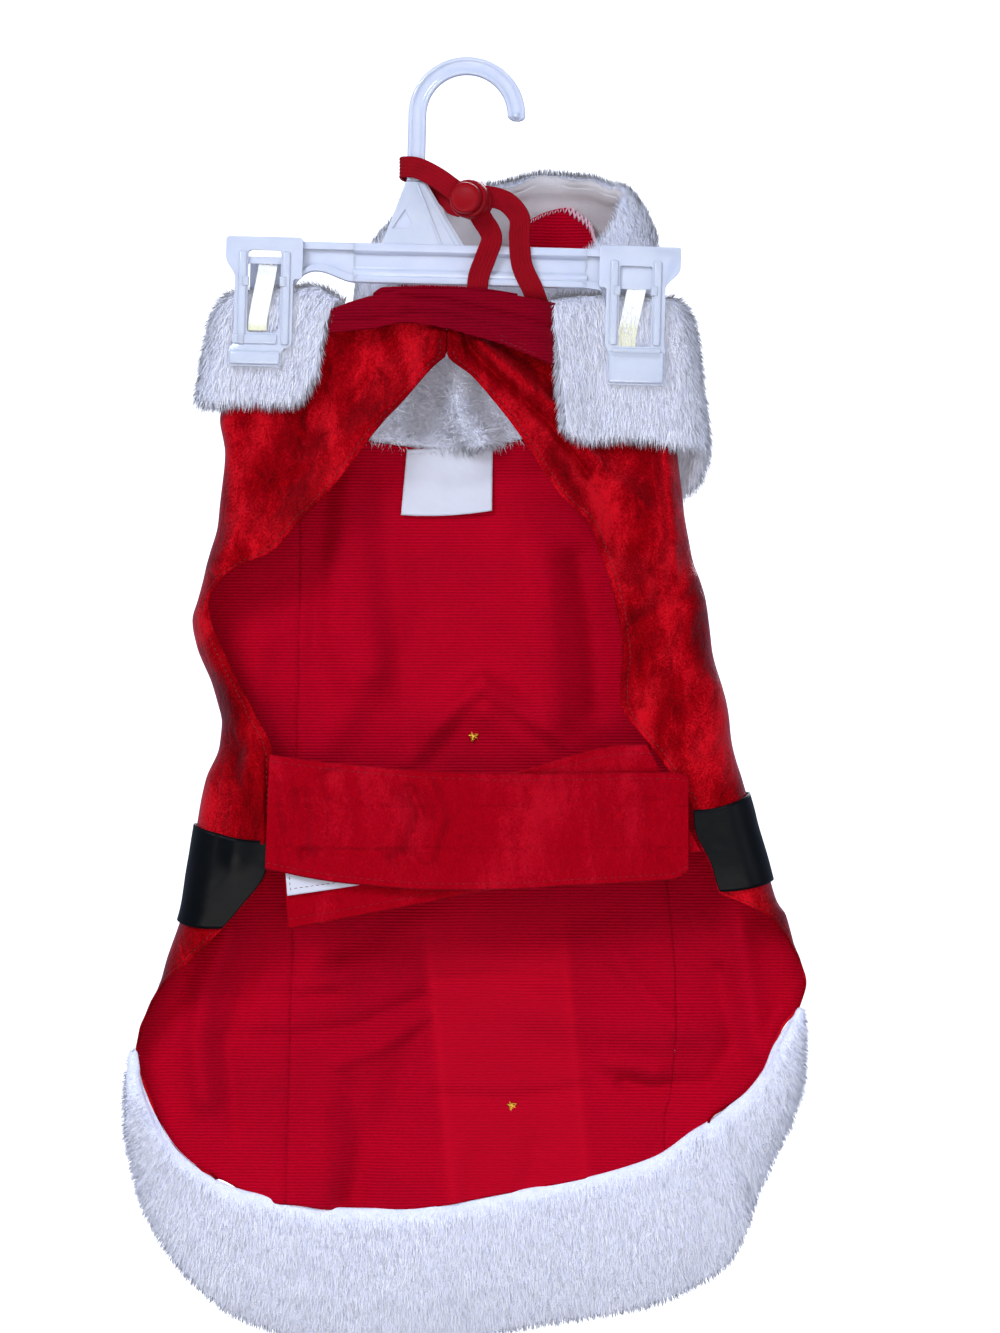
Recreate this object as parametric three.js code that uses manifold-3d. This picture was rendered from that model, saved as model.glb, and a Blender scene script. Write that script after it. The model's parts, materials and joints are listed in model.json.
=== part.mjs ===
// A dog's Santa suit, coat and hat, hanging from its two-clip hanger.
//
// Millimetres, +Z up, +X to the right, the open belly side towards -Y. The origin is the
// underside of the hook's crown, where a rail carries the hanger. The coat hangs with the
// inside of its back panel facing -Y; its two sides fold forward round the flanks and meet at
// the throat, and the hat hangs behind the bar on its own elastic.
import * as THREE from "three";
import Module from "manifold-3d";
import { mergeVertices } from "three/addons/utils/BufferGeometryUtils.js";

// ---------------------------------------------------------------- driving dimensions (mm)
const CLOTH = 1.5; // velvet with its knitted back
const STRAP_CLOTH = 1.6; // belly straps, two layers pressed flat
const TAB_CLOTH = 2; // neck tab, three layers
const BELT_CLOTH = 1.2; // satin belt
const PLACKET_PILE = 3; // short plush strip down the back
const TRIM_PILE = 9; // plush hem, pile on both faces
const BRIM_PILE = 8; // hat brim
const PATCH = 1; // woven label and the hook patch
const SEAM = 0.6; // space between pieces that are sewn together
const TRIM_START = 1.2; // the hem trim clears the rolled side edges by this
const CENTRE_AT_NECK = -8.5; // the coat hangs askew: its centre line starts here ...
const CENTRE_DRIFT = -0.095; // ... and moves right by this much for each mm down
const NECK_Z = -165.6; // back neckline on the centre line
const PLACKET_HALF = 31;
const PLACKET_EASE = 1.3; // clearance between the placket and the folds of the panel under it
const BUTTON_RADIUS = 7.5;
const POMPOM_RADIUS = 19;
const ELASTIC = { width: 10.7, thick: 1.2 };
const TOGGLE = { radius: 8.6, length: 13, buttonRadius: 6.9, buttonLength: 4.2 };
const HANGER_TILT = 1.5; // degrees, right end low
const COAT_PLANE = 6; // the plane that the tables measure y from lies this far behind the hook
const HOOK = { radius: 22, drop: 18, wide: 8, deep: 6 };
const STEM_BOTTOM = -47.7;
const BAR = { left: -70.7, right: 60.2, top: -76, bottom: -93.4, front: -11, rear: -1 };
const CLIP = { front: -15, plate: -10.5, rear: -1, top: -74.6, beam: -79.3, backWide: 14 };

// ---------------------------------------------------------------- tables
// Each side of the coat, from its seam with the back panel round the flank to its free edge.
// z is the height of a level section; seam, fold and edge are the x of the seam, of the
// outermost point of the flank and of the free edge; back and front are the y of the two
// layers, turn is the reach of the rounded fold and edgeY is the y of the free edge.
const SIDE_COLUMNS = ["z", "seam", "fold", "edge", "back", "front", "turn", "edgeY"];
const LEFT_SIDE = table(SIDE_COLUMNS, [
  [-104, -75, -103, -10, 7, -3, 6, -12],
  [-124, -75, -105, -10, 8, -3, 7, -12],
  [-129, -75, -106, -15, 8, -3, 7, -12],
  [-147, -75.3, -109, -31, 9, -3.4, 8, -11.5],
  [-153, -75.5, -110, -37, 9, -4.5, 8, -11.5],
  [-168, -75.5, -107.5, -48, 10, -8, 9, -12],
  [-185, -75.5, -109.5, -61.5, 10, -10, 9, -13],
  [-200, -75.5, -111, -76, 11, -12, 10, -14],
  [-212, -75.5, -114, -87, 11, -13, 10, -14.5],
  [-217, -75.5, -115.5, -99.5, 11, -13, 10, -14],
  [-226, -75.6, -118, -111, 11, -12, 9, -12],
  [-234, -75.6, -120, -114.7, 11, -11, 9, -11],
  [-242, -75.7, -122, -114, 11, -11, 10, -11],
  [-253, -76, -120.3, -109.7, 11, -12, 10, -12],
  [-269, -76, -113.7, -101.7, 11, -14, 10, -14],
  [-279, -76.5, -111, -96.5, 11, -15, 10, -15],
  [-288, -77, -109, -92, 11, -15, 10, -15],
  [-298, -77, -110, -87, 11, -15, 10, -15],
  [-313, -77.7, -116, -86.1, 11, -15, 11, -15],
  [-333, -78, -120, -86.1, 12, -15, 11, -15],
  [-353, -78.3, -123.2, -88.8, 12, -15, 11, -15],
  [-370, -78.6, -126, -101, 12, -14, 11, -14],
  [-380, -79, -129, -110, 12, -13, 11, -13],
  [-392, -79, -133.6, -122, 12, -12, 11, -12],
  [-404, -79.5, -136.5, -135, 12, -11, 10, -8],
  [-413.5, -79.7, -141, -140.6, 12, -10, 10, -3],
  [-424.5, -80, -145.3, -145.2, 12, -8, 10, 0],
  [-434, -80, -147, -146.9, 12, -6, 10, 2],
  [-448, -80.4, -144.2, -144, 12, -4, 10, 3],
  [-469, -81, -136.2, -136, 12, -1, 10, 5],
  [-478, -81.3, -130.2, -130, 12, 2, 9, 7],
  [-485, -81.5, -122.7, -122.5, 12, 4, 9, 8],
  [-491, -81.7, -112.2, -112, 12, 6, 8, 9],
]);
const RIGHT_SIDE = table(SIDE_COLUMNS, [
  [-110, 66, 88, -9.2, 7, -3, 6, -12],
  [-124, 66, 90, -9.2, 8, -3, 7, -12],
  [-134, 66, 91, 1.8, 8, -3, 7, -12],
  [-153, 66, 92, 17.8, 9, -3, 8, -12],
  [-163, 66.5, 92.5, 25, 9, -3.6, 8, -12.5],
  [-171, 67, 93, 30.2, 9, -6, 8, -13],
  [-186.5, 68, 94.6, 40.8, 10, -9, 9, -14],
  [-200, 69, 96.5, 54.2, 10, -11, 9, -15],
  [-215, 70.5, 99.5, 59.5, 11, -13, 10, -15],
  [-233, 73, 105, 65.3, 11, -14, 10, -14],
  [-255, 76, 108, 68.4, 11, -15, 11, -13],
  [-277.5, 79, 114, 67.5, 11, -16, 11, -14],
  [-297.5, 81.5, 117, 80.8, 11, -16, 11, -15],
  [-313, 83.5, 121.5, 92, 11, -15.5, 11, -15],
  [-325, 85, 125, 99, 12, -15, 11, -15],
  [-333, 86, 127, 99.5, 12, -15, 11, -15],
  [-350, 88, 132, 107, 12, -15, 11, -15],
  [-363, 89.5, 135.5, 111.5, 12, -14, 11, -14],
  [-368, 90, 137.5, 123.9, 12, -13, 11, -13],
  [-373, 90.5, 141, 132.8, 12, -12, 11, -11],
  [-388.5, 92, 145, 144.3, 12, -11, 11, -5],
  [-404, 93, 149.7, 149.5, 12, -9, 10, 0],
  [-413, 93, 147.2, 147, 12, -7, 10, 2],
  [-423, 93, 140.1, 139.9, 12, -5, 10, 3],
  [-433, 92.5, 135.2, 135, 12, -4, 10, 4],
  [-441, 92, 132.5, 132.3, 12, -2, 10, 5],
  [-453, 91, 123.2, 123, 12, 0, 9, 6],
  [-466, 88, 107.2, 107, 12, 4, 8, 8],
]);

// Where each side starts and ends: z of its neckline and of its hem, by s, which runs from 0 at
// the seam with the back panel to 1 at the free edge.
const LEFT_ENDS = table(["s", "top", "bottom"], [
  [0, -152, -499.5],
  [0.2, -133, -498],
  [0.35, -119, -496],
  [0.6, -112.5, -493.5],
  [1, -105, -491],
]);
const RIGHT_ENDS = table(["s", "top", "bottom"], [
  [0, -151, -478.5],
  [0.18, -134, -476],
  [0.32, -126, -474],
  [0.6, -120, -470],
  [1, -111, -466],
]);

const SIDE_COLUMNS_CUT = 15; // columns of points across a side's wall ...
const BACK_COLUMNS_CUT = 14; // ... and across the back panel's

// The back panel: y of its middle at each height.
const BACK_DEPTH = table(["z", "y"], [
  [-150, 14.5],
  [-200, 17],
  [-300, 18],
  [-400, 18.5],
  [-450, 17.5],
  [-505, 14],
]);
const BACK_BOW = 4; // how far its two edges come forward of its middle
const NECKLINE = table(["x", "z"], [
  [-75, -152],
  [-39, -162.5],
  [-8.5, NECK_Z],
  [21, -161.5],
  [66, -151],
]);
const HEM = table(["x", "z"], [
  [-82, -499.5],
  [-60, -503],
  [-30, -503],
  [15, -496],
  [60, -487],
  [86, -478.5],
]);

// The largest soft folds: a ridge runs from (x0, z0) to (x1, z1), width across its half height
// and rise in y; a negative rise comes towards the belly side.
const FOLD_COLUMNS = ["x0", "z0", "x1", "z1", "width", "rise"];
const BACK_FOLDS = table(FOLD_COLUMNS, [
  [-52, -185, -44, -262, 9, -4],
  [-44, -268, -66, -300, 9, -3],
  [33, -215, 38, -285, 9, -3.5],
  [-14, -287, 6, -277, 10, -3.5],
  [6, -277, 44, -303, 10, -3.5],
  [-112, -372, -108, -425, 9, -5],
  [-96, -395, -45, -388, 9, 3],
  [-62, -400, -18, -378, 9, -3],
  [-20, -420, -50, -500, 10, 3],
  [30, -415, 112, -430, 12, -4],
  [18, -385, 60, -372, 9, 2.5],
]);
const LEFT_FOLDS = table(FOLD_COLUMNS, [
  [-70, -165, -92, -190, 9, 4],
  [-100, -300, -104, -345, 8, -3],
]);
const RIGHT_FOLDS = table(FOLD_COLUMNS, [
  [84, -180, 60, -165, 8, 3],
  [62, -205, 92, -222, 9, 4],
  [74, -232, 100, -214, 8, -4],
  [78, -270, 104, -236, 9, 5],
  [92, -262, 108, -250, 7, -3],
  [96, -300, 114, -270, 8, 4],
]);

// The plush hem: inner points lie on the hem, outer points on the edge of the pile.
const TRIM = table(["ix", "iz", "iy", "ox", "oz", "oy"], [
  [-147.8, -434, 1, -150.5, -432.5, 3],
  [-145.3, -448, 2, -153.5, -450, 6],
  [-140.8, -459, 4, -153.5, -468, 8],
  [-136, -469, 5, -151.5, -482, 9],
  [-130, -478, 7, -146, -503, 11],
  [-122.5, -485, 8, -136, -522, 12],
  [-111.6, -491.6, 9.8, -119, -542, 13],
  [-90, -497.1, 10.4, -93, -556, 13],
  [-62, -502.4, 11.4, -60, -563, 14],
  [-30, -503.1, 13, -26, -564.5, 15],
  [-4, -500.1, 14, 2, -561, 16],
  [25, -494.6, 14.6, 32, -555.5, 16],
  [60, -487.4, 14.2, 70, -549, 15],
  [86, -479, 13, 101, -540, 14],
  [99, -471, 11.8, 115, -531, 13],
  [107.8, -465.5, 8, 123, -518, 12],
  [116, -459, 6, 128, -502, 11],
  [124, -452.5, 5, 135.5, -485, 10],
  [132.5, -441, 4, 144, -467, 9],
  [135.4, -433, 3, 149, -450, 8],
  [140.9, -423.6, 2, 150.2, -433.4, 6],
  [147.6, -413.2, 1, 150.2, -417.7, 3],
]);

const TRIM_STATIONS = 46;

// The collar, a band folded over on itself, from its left front end round the neck to its right
// one: its sewn edge (s), the top of its fold (f) and its free hem (h), and the pile's depth.
const COLLAR_COLUMNS = ["sx", "sy", "sz", "fx", "fy", "fz", "hx", "hy", "hz", "pile"];
const COLLAR = table(COLLAR_COLUMNS, [
  [-63, -2.8, -108, -62, -6.8, -100.5, -68, -11.5, -139, 5.5],
  [-72, -2.4, -110, -72, -5.2, -98, -78, -8.2, -143, 4.2],
  [-86, -2, -112.5, -87, -4.4, -96.5, -95, -6.8, -144, 3.6],
  [-98, -2, -115, -101, -3.8, -97, -109, -6, -145, 4],
  [-104, 2, -121, -107, 4.5, -100, -119, 1.5, -148, 5.5],
  [-98, 9.5, -133, -101, 14.5, -116, -113, 15, -158, 5.5],
  [-76, 13.5, -149.2, -80, 19, -134, -92, 24.5, -174, 5.5],
  [-39, 15.2, -159.8, -40, 20.2, -146.5, -48, 26, -188, 5.5],
  [-22, 15.6, -162.6, -22, 20.6, -147, -24, 26.2, -191, 5.5],
  [-6, 15.7, -163.8, -7, 20.7, -126, -3, 26.3, -192, 5.5],
  [22, 15.5, -159.4, 26, 20.5, -121, 24, 26.2, -192, 5.5],
  [62, 13.2, -149.4, 64, 18.5, -122, 72, 24.2, -188, 5.5],
  [83, 9.5, -135.5, 86, 13.5, -110, 99, 16, -180, 5.5],
  [90, 2, -126.5, 93, 4.5, -102, 105, 2, -164, 5.5],
  [84, -2, -122, 88, -4, -99, 93, -6.4, -160.5, 4],
  [73, -2, -120.5, 74, -4.2, -98.4, 77, -6.9, -160, 3.6],
  [60, -2, -118.5, 60, -4.3, -99, 61, -6.9, -160, 3.8],
  [50, -2.6, -117, 49.5, -5.4, -100, 52, -9.4, -158.5, 4.8],
  [45, -2.8, -116, 43.5, -6.2, -101, 46.5, -10.8, -156, 5.5],
]);

const COLLAR_STATIONS = 38;

// The neck tab and the layer that shows above it, in front of the sides.
const TAB_OVER = table(["x", "top", "bottom", "y"], [
  [-59, -104, -114.5, -15.2],
  [-42, -98.5, -113, -15.8],
  [-28, -96, -110.5, -16],
  [-11, -95.8, -112.8, -16],
  [2, -96.3, -116.3, -16],
  [15, -97.4, -120, -16],
  [27.5, -99.5, -125, -15.9],
  [38.5, -101.7, -129.5, -15],
]);
const TAB_UNDER = table(["x", "top", "bottom", "y"], [
  [-42, -97.5, -107, -13.6],
  [-37, -94.6, -108, -13.8],
  [-20, -94.2, -109, -13.8],
  [0, -94.6, -110, -13.8],
  [22, -97.5, -112, -13.7],
]);

// The belly straps, by stations from left to right: their two edges and their y.
const STRAP_COLUMNS = ["tx", "tz", "bx", "bz", "y"];
const STRAP_OVER = table(STRAP_COLUMNS, [
  [-87.6, -301.5, -89.6, -352, -17.4],
  [-57, -305.5, -57, -358, -18],
  [-12.4, -309, -12.4, -361.4, -18.4],
  [19, -310, 19, -361, -18],
  [43, -310, 43, -359.6, -17.8],
  [74.6, -309.5, 74.6, -357.9, -17.6],
  [91, -309.5, 91, -356.6, -17.4],
  [97.4, -311.5, 97.4, -352.5, -17.3],
]);
const STRAP_UNDER = table(STRAP_COLUMNS, [
  [-84, -322, -79.5, -379, -14],
  [-50, -320, -50, -373.5, -14.4],
  [-12, -315, -12, -366, -14.8],
  [19, -309.6, 19, -360, -15],
  [55, -299.4, 58, -353, -15],
  [67, -297.4, 80, -349, -15],
  [79.2, -297.4, 103, -344.5, -15],
]);
const HOOK_PATCH = { fromU: 0.02, toU: 0.3, fromV: 0.1, toV: 0.74 };

// The belt lies on the outside of the coat: z of its two edges by the way round from the left
// free edge (0) through the back panel (1 to 2) to the right free edge (3).
const BELT = table(["way", "top", "bottom"], [
  [0.07, -339.5, -378.5],
  [0.45, -333, -374],
  [1, -331, -371.5],
  [2, -320, -360],
  [2.55, -319, -357],
  [2.97, -326, -362],
]);
const BELT_EASE = 1.6; // the belt's clearance from the coat, which it rounds in straight facets

// The hat: rings of a flattened, leaning cone. C is a ring's centre, wide and rise its half
// width along x and the climb of its right end, and far the step from C to its rear point.
const RING_COLUMNS = ["x", "y", "z", "wide", "rise", "farX", "farY", "farZ"];
const BRIM_RINGS = table(RING_COLUMNS, [
  [13, 43, -68, 50, 5.5, 25, 14, 20],
  [14, 46, -73, 54, 4, 24, 16, 20],
  [15, 50, -82, 53, 3, 22, 18, 17],
  [15, 54, -92, 47, 2, 20, 19, 13],
]);
const CONE_RINGS = table(RING_COLUMNS, [
  [15, 54.7, -93.7, 47.4, 2, 19.6, 19.4, 12.7],
  [14, 56, -104, 44, 1, 15, 18.4, 10],
  [12, 57, -125, 42, 0, 6, 17.5, 6],
  [6, 54, -165, 37, 0, 0, 16, 2],
  [0, 52, -205, 29, 0, 0, 14, 0],
  [-3, 50, -240, 19, 0, 0, 11, 0],
  [-4, 49, -264, 8, 0, 0, 7, 0],
]);
const POMPOM_AT = [-4, 48.8, -282.6];
const RING_SIDES = 24;

// The elastic's routes, with the direction of its width at each point.
const ROUTE_COLUMNS = ["x", "y", "z", "wx", "wy", "wz"];
const LEFT_STRAND = table(ROUTE_COLUMNS, [
  [5.7, -16.6, -66.7, 0.9, 0, 0.4],
  [10.5, -15, -72.5, 0.97, 0, -0.1],
  [8, -12.8, -81, 0.95, 0, 0.3],
  [5, -12, -89, 1, 0, 0.15],
  [4, -11.9, -95.8, 1, 0, 0],
  [3, -8, -100.8, 1, 0, 0],
  [0, 4, -101.5, 1, 0, 0],
  [-5, 17, -101, 1, 0, 0],
  [-8, 26.4, -100.5, 1, 0, 0],
]);
const RIGHT_STRAND = table(ROUTE_COLUMNS, [
  [11.4, -17.5, -55.4, 0, 0.1, 1],
  [17.5, -16, -57.5, 0.35, 0, 0.94],
  [22.8, -14.5, -64, 0.9, 0, 0.45],
  [22.8, -13, -73, 1, 0, 0],
  [24, -12, -85, 0.97, 0, 0.2],
  [28.5, -12.3, -95.2, 0.9, 0, 0.3],
  [31, -8, -101.2, 1, 0, 0.1],
  [33, 4, -102, 1, 0, 0],
  [36, 18.5, -101, 1, 0, 0],
  [39, 32.6, -98.5, 1, 0, 0],
]);
const STEM_LOOP = table(ROUTE_COLUMNS, [
  [-7.4, -18.6, -51.4, 0.3, 0, 0.95],
  [-14, -14, -46, 0.3, 0, 0.95],
  [-22.6, -10.6, -41.6, 0.1, 0, 1],
  [-28.2, -9, -41, 0, 0, 1],
  [-29.9, -6, -41.2, 0, 0, 1],
  [-28.2, -2.8, -41.6, 0, 0, 1],
  [-22.6, -1.2, -42.4, 0.05, 0, 1],
  [-14, -1.5, -46, 0.3, 0, 0.95],
  [-9.5, -7, -50.5, 0.3, 0, 0.95],
  [-7.9, -13.5, -54.5, 0.2, 0, 0.98],
]);
const TOGGLE_AT = [0.6, -18.5, -57.5];
const TOGGLE_AXIS = [-0.3, -0.95, 0.02];

// ---------------------------------------------------------------- materials
const finish = (colour, roughness, metalness = 0) =>
  new THREE.MeshStandardMaterial({ color: colour, roughness, metalness });
const VELVET = finish(0xb5091f, 0.55);
const KNIT = finish(0xa3031f, 0.8);
const PLUSH = finish(0xe6eaf6, 0.95);
const SATIN = finish(0x101416, 0.35);
const ELASTIC_RED = finish(0x9a0418, 0.7);
const TOGGLE_RED = finish(0xc41e2a, 0.4);
const HANGER_PLASTIC = finish(0xe2e8f4, 0.35);
const STEEL = finish(0xc9ccd2, 0.25, 1);
const GOLD = finish(0xc79a3a, 0.3, 1);
const TAPE = finish(0xf2f3f7, 0.7);

// ---------------------------------------------------------------- numbers and curves
// Rows of numbers become records with the columns' names.
function table(columns, rows) {
  return rows.map((row) => Object.fromEntries(columns.map((name, i) => [name, row[i]])));
}

// One column of a table where its first column has the value key, without overshoot.
function valueAt(rows, column, key) {
  const by = Object.keys(rows[0])[0];
  const sign = rows[rows.length - 1][by] > rows[0][by] ? 1 : -1;
  const k = sign * key;
  const x = rows.map((row) => sign * row[by]);
  const y = rows.map((row) => row[column]);
  if (k <= x[0]) return y[0];
  if (k >= x[x.length - 1]) return y[y.length - 1];
  let i = 0;
  while (k > x[i + 1]) i += 1;
  const slope = (n) => (y[n + 1] - y[n]) / (x[n + 1] - x[n]);
  const tangent = (n) => {
    if (n === 0 || n === x.length - 1) return 0;
    const before = slope(n - 1);
    const after = slope(n);
    return before * after <= 0 ? 0 : (2 * before * after) / (before + after);
  };
  const h = x[i + 1] - x[i];
  const t = (k - x[i]) / h;
  const rise = (1 - t) ** 2 * t * h * tangent(i) - (1 - t) * t ** 2 * h * tangent(i + 1);
  return y[i] * (1 + 2 * t) * (1 - t) ** 2 + y[i + 1] * t * t * (3 - 2 * t) + rise;
}

const lerp = (a, b, t) => a + (b - a) * t;
const smooth = (t) => THREE.MathUtils.smoothstep(t, 0, 1);
const vec = (x, y, z) => new THREE.Vector3(x, y, z);
const steps = (count) => Array.from({ length: count }, (_, i) => i / (count - 1));

// Every column of a table spread evenly over count records, by a curve through its rows.
function resampled(rows, count) {
  const along = rows.map((row, i) => ({ at: i / (rows.length - 1), ...row }));
  const columns = Object.keys(rows[0]);
  return steps(count).map((at) =>
    Object.fromEntries(columns.map((name) => [name, valueAt(along, name, at)])));
}

// Height in y of the soft folds at a point of a panel.
function foldRise(folds, x, z) {
  return folds.reduce((sum, f) => {
    const along = vec(f.x1 - f.x0, 0, f.z1 - f.z0);
    const t = THREE.MathUtils.clamp(
      ((x - f.x0) * along.x + (z - f.z0) * along.z) / along.lengthSq(), 0, 1);
    const away = Math.hypot(x - f.x0 - along.x * t, z - f.z0 - along.z * t);
    return sum + f.rise * Math.exp(-((away / f.width) ** 2));
  }, 0);
}

// ---------------------------------------------------------------- closed solids
// A geometry from points and quads of point numbers, turned so that its faces point outwards.
function solid(points, quads) {
  const triangles = quads.flatMap(([a, b, c, d]) =>
    d === undefined ? [[a, b, c]] : [[a, b, c], [a, c, d]]);
  const volume = triangles.reduce(
    (sum, [a, b, c]) => sum + points[a].dot(points[b].clone().cross(points[c])), 0);
  const facing = volume < 0 ? triangles.map(([a, b, c]) => [a, c, b]) : triangles;
  const geometry = new THREE.BufferGeometry().setFromPoints(points);
  geometry.setIndex(facing.flat());
  geometry.computeVertexNormals();
  return geometry;
}

// The direction square to a grid of points at row i and column j.
function normalAt(rows, i, j, ring) {
  const n = rows[i].length;
  const row = rows[i];
  const [before, after] = ring
    ? [row[(j + n - 1) % n], row[(j + 1) % n]]
    : [row[Math.max(j - 1, 0)], row[Math.min(j + 1, n - 1)]];
  const [above, below] = [rows[Math.max(i - 1, 0)][j], rows[Math.min(i + 1, rows.length - 1)][j]];
  return after.clone().sub(before).cross(below.clone().sub(above)).normalize();
}

// A grid of points moved square to itself.
function moved(rows, distance, ring = false) {
  const by = typeof distance === "function" ? distance : () => distance;
  return rows.map((row, i) =>
    row.map((p, j) => p.clone().addScaledVector(normalAt(rows, i, j, ring), by(i, j))));
}

// A cloth wall: the grid of its middle surface, given half its thickness each way. A ring
// closes on itself along its rows.
function wall(rows, thickness, ring = false) {
  const half = typeof thickness === "function" ? (i, j) => thickness(i, j) / 2 : () => thickness / 2;
  const m = rows.length;
  const n = rows[0].length;
  const faces = [moved(rows, half, ring), moved(rows, (i, j) => -half(i, j), ring)];
  const id = (side, i, j) => side * m * n + i * n + (j % n);
  const quads = [];
  const lastColumn = ring ? n : n - 1;
  for (let i = 0; i < m - 1; i += 1)
    for (let j = 0; j < lastColumn; j += 1) {
      quads.push([id(0, i, j), id(0, i, j + 1), id(0, i + 1, j + 1), id(0, i + 1, j)]);
      quads.push([id(1, i, j), id(1, i + 1, j), id(1, i + 1, j + 1), id(1, i, j + 1)]);
    }
  for (let j = 0; j < lastColumn; j += 1) {
    quads.push([id(0, 0, j), id(1, 0, j), id(1, 0, j + 1), id(0, 0, j + 1)]);
    quads.push([id(0, m - 1, j), id(0, m - 1, j + 1), id(1, m - 1, j + 1), id(1, m - 1, j)]);
  }
  for (let i = 0; i < m - 1 && !ring; i += 1) {
    quads.push([id(0, i, 0), id(0, i + 1, 0), id(1, i + 1, 0), id(1, i, 0)]);
    quads.push([id(0, i, n - 1), id(1, i, n - 1), id(1, i + 1, n - 1), id(0, i + 1, n - 1)]);
  }
  return solid(faces.flat(2), quads);
}

// A section swept along points: outline pairs are [across, through] at each point, where across
// is the direction given there and through is square to it and to the path.
function sweep(points, across, outline) {
  const n = outline.length;
  const rings = points.map((p, i) => {
    const along = points[Math.min(i + 1, points.length - 1)].clone()
      .sub(points[Math.max(i - 1, 0)]).normalize();
    const wide = across[i].clone().addScaledVector(along, -across[i].dot(along)).normalize();
    const through = along.clone().cross(wide);
    return outline.map(([u, v]) => p.clone().addScaledVector(wide, u).addScaledVector(through, v));
  });
  const quads = [];
  for (let i = 0; i < rings.length - 1; i += 1)
    for (let j = 0; j < n; j += 1) {
      const next = (j + 1) % n;
      quads.push([i * n + j, i * n + next, (i + 1) * n + next, (i + 1) * n + j]);
    }
  const last = (rings.length - 1) * n;
  for (let j = 1; j < n - 1; j += 1) {
    quads.push([0, j + 1, j]);
    quads.push([last, last + j, last + j + 1]);
  }
  return solid(rings.flat(), quads);
}

const rectangle = (wide, thick) =>
  [[-wide / 2, -thick / 2], [wide / 2, -thick / 2], [wide / 2, thick / 2], [-wide / 2, thick / 2]];
const oval = (wide, thick, sides) =>
  steps(sides + 1).slice(1).map((t) =>
    [Math.cos(t * 2 * Math.PI) * wide / 2, Math.sin(t * 2 * Math.PI) * thick / 2]);

// An outline in x and z, extruded from y = from to y = to.
function plate(outline, from, to, hole) {
  const shape = new THREE.Shape(outline.map(([x, z]) => new THREE.Vector2(x, z)));
  if (hole) shape.holes.push(new THREE.Path(hole.map(([x, z]) => new THREE.Vector2(x, z))));
  const geometry = new THREE.ExtrudeGeometry(shape, { depth: to - from, bevelEnabled: false });
  return geometry.rotateX(Math.PI / 2).translate(0, to, 0);
}

const wasm = await Module();
wasm.setup();

// Solids joined into one with manifold-3d.
function join(...geometries) {
  const solids = geometries.map((geometry) => {
    const bare = new THREE.BufferGeometry();
    const loose = geometry.index ? geometry.toNonIndexed() : geometry;
    bare.setAttribute("position", loose.getAttribute("position"));
    const merged = mergeVertices(bare, 1e-4);
    return new wasm.Manifold(new wasm.Mesh({
      numProp: 3,
      vertProperties: merged.attributes.position.array,
      triVerts: new Uint32Array(merged.index.array),
    }));
  });
  const mesh = solids.reduce((all, next) => all.add(next)).getMesh();
  const joined = new THREE.BufferGeometry();
  joined.setAttribute("position", new THREE.BufferAttribute(mesh.vertProperties, 3));
  joined.setIndex(new THREE.BufferAttribute(mesh.triVerts, 1));
  joined.computeVertexNormals();
  return joined;
}

// ---------------------------------------------------------------- the coat's middle surface
const centreLine = (z) => CENTRE_AT_NECK + CENTRE_DRIFT * (z - NECK_Z);

function backY(x, z) {
  const half = (valueAt(RIGHT_SIDE, "seam", z) - valueAt(LEFT_SIDE, "seam", z)) / 2;
  const off = (x - centreLine(z)) / half;
  return valueAt(BACK_DEPTH, "y", z) - BACK_BOW * Math.min(off * off, 1.4) + foldRise(BACK_FOLDS, x, z);
}

// One level section of a side: seam, back layer, round the flank, front layer, free edge.
const ARC_STEPS = 12;
function sidePath(rows, folds, z) {
  const row = Object.fromEntries(SIDE_COLUMNS.map((name) => [name, valueAt(rows, name, z)]));
  const outward = Math.sign(row.fold);
  const turnX = row.fold - outward * row.turn;
  const middle = (row.back + row.front) / 2;
  const reach = (row.back - row.front) / 2;
  const past = outward * (row.edge - turnX); // the free edge lies on the turn, not past it
  const end = past > 0 ? Math.PI - Math.asin(Math.min(past / row.turn, 1)) : Math.PI;
  const path = [vec(row.seam, backY(row.seam, z), z)];
  const bend = (t) => lerp(row.seam, turnX, t);
  for (const t of [0.25, 0.5, 0.75]) {
    const y = lerp(backY(row.seam, z), row.back, smooth(t));
    path.push(vec(bend(t), y + foldRise(folds, bend(t), z) * 0.3, z));
  }
  for (let i = 0; i <= ARC_STEPS; i += 1) {
    const angle = (end * i) / ARC_STEPS;
    path.push(vec(turnX + outward * row.turn * Math.sin(angle), middle + reach * Math.cos(angle), z));
  }
  if (past <= 0)
    for (const t of [0.17, 0.34, 0.5, 0.67, 0.83, 1]) {
      const x = lerp(turnX, row.edge, t);
      const y = lerp(row.front, row.edgeY, smooth(t * 2 - 1));
      path.push(vec(x, y + foldRise(folds, x, z) * Math.min(1, t * 3), z));
    }
  return path;
}

// The point a share s of the way along a path.
function alongPath(path, s) {
  const lengths = path.slice(1).map((p, i) => p.distanceTo(path[i]));
  let left = lengths.reduce((a, b) => a + b, 0) * s;
  let i = 0;
  while (i < lengths.length - 1 && left > lengths[i]) {
    left -= lengths[i];
    i += 1;
  }
  return path[i].clone().lerp(path[i + 1], Math.min(left / lengths[i], 1));
}

const leftPoint = (s, z) => alongPath(sidePath(LEFT_SIDE, LEFT_FOLDS, z), s);
const rightPoint = (s, z) => alongPath(sidePath(RIGHT_SIDE, RIGHT_FOLDS, z), s);
function backPoint(s, z) {
  const x = lerp(valueAt(LEFT_SIDE, "seam", z) + SEAM, valueAt(RIGHT_SIDE, "seam", z) - SEAM, s);
  return vec(x, backY(x, z), z);
}

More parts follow.
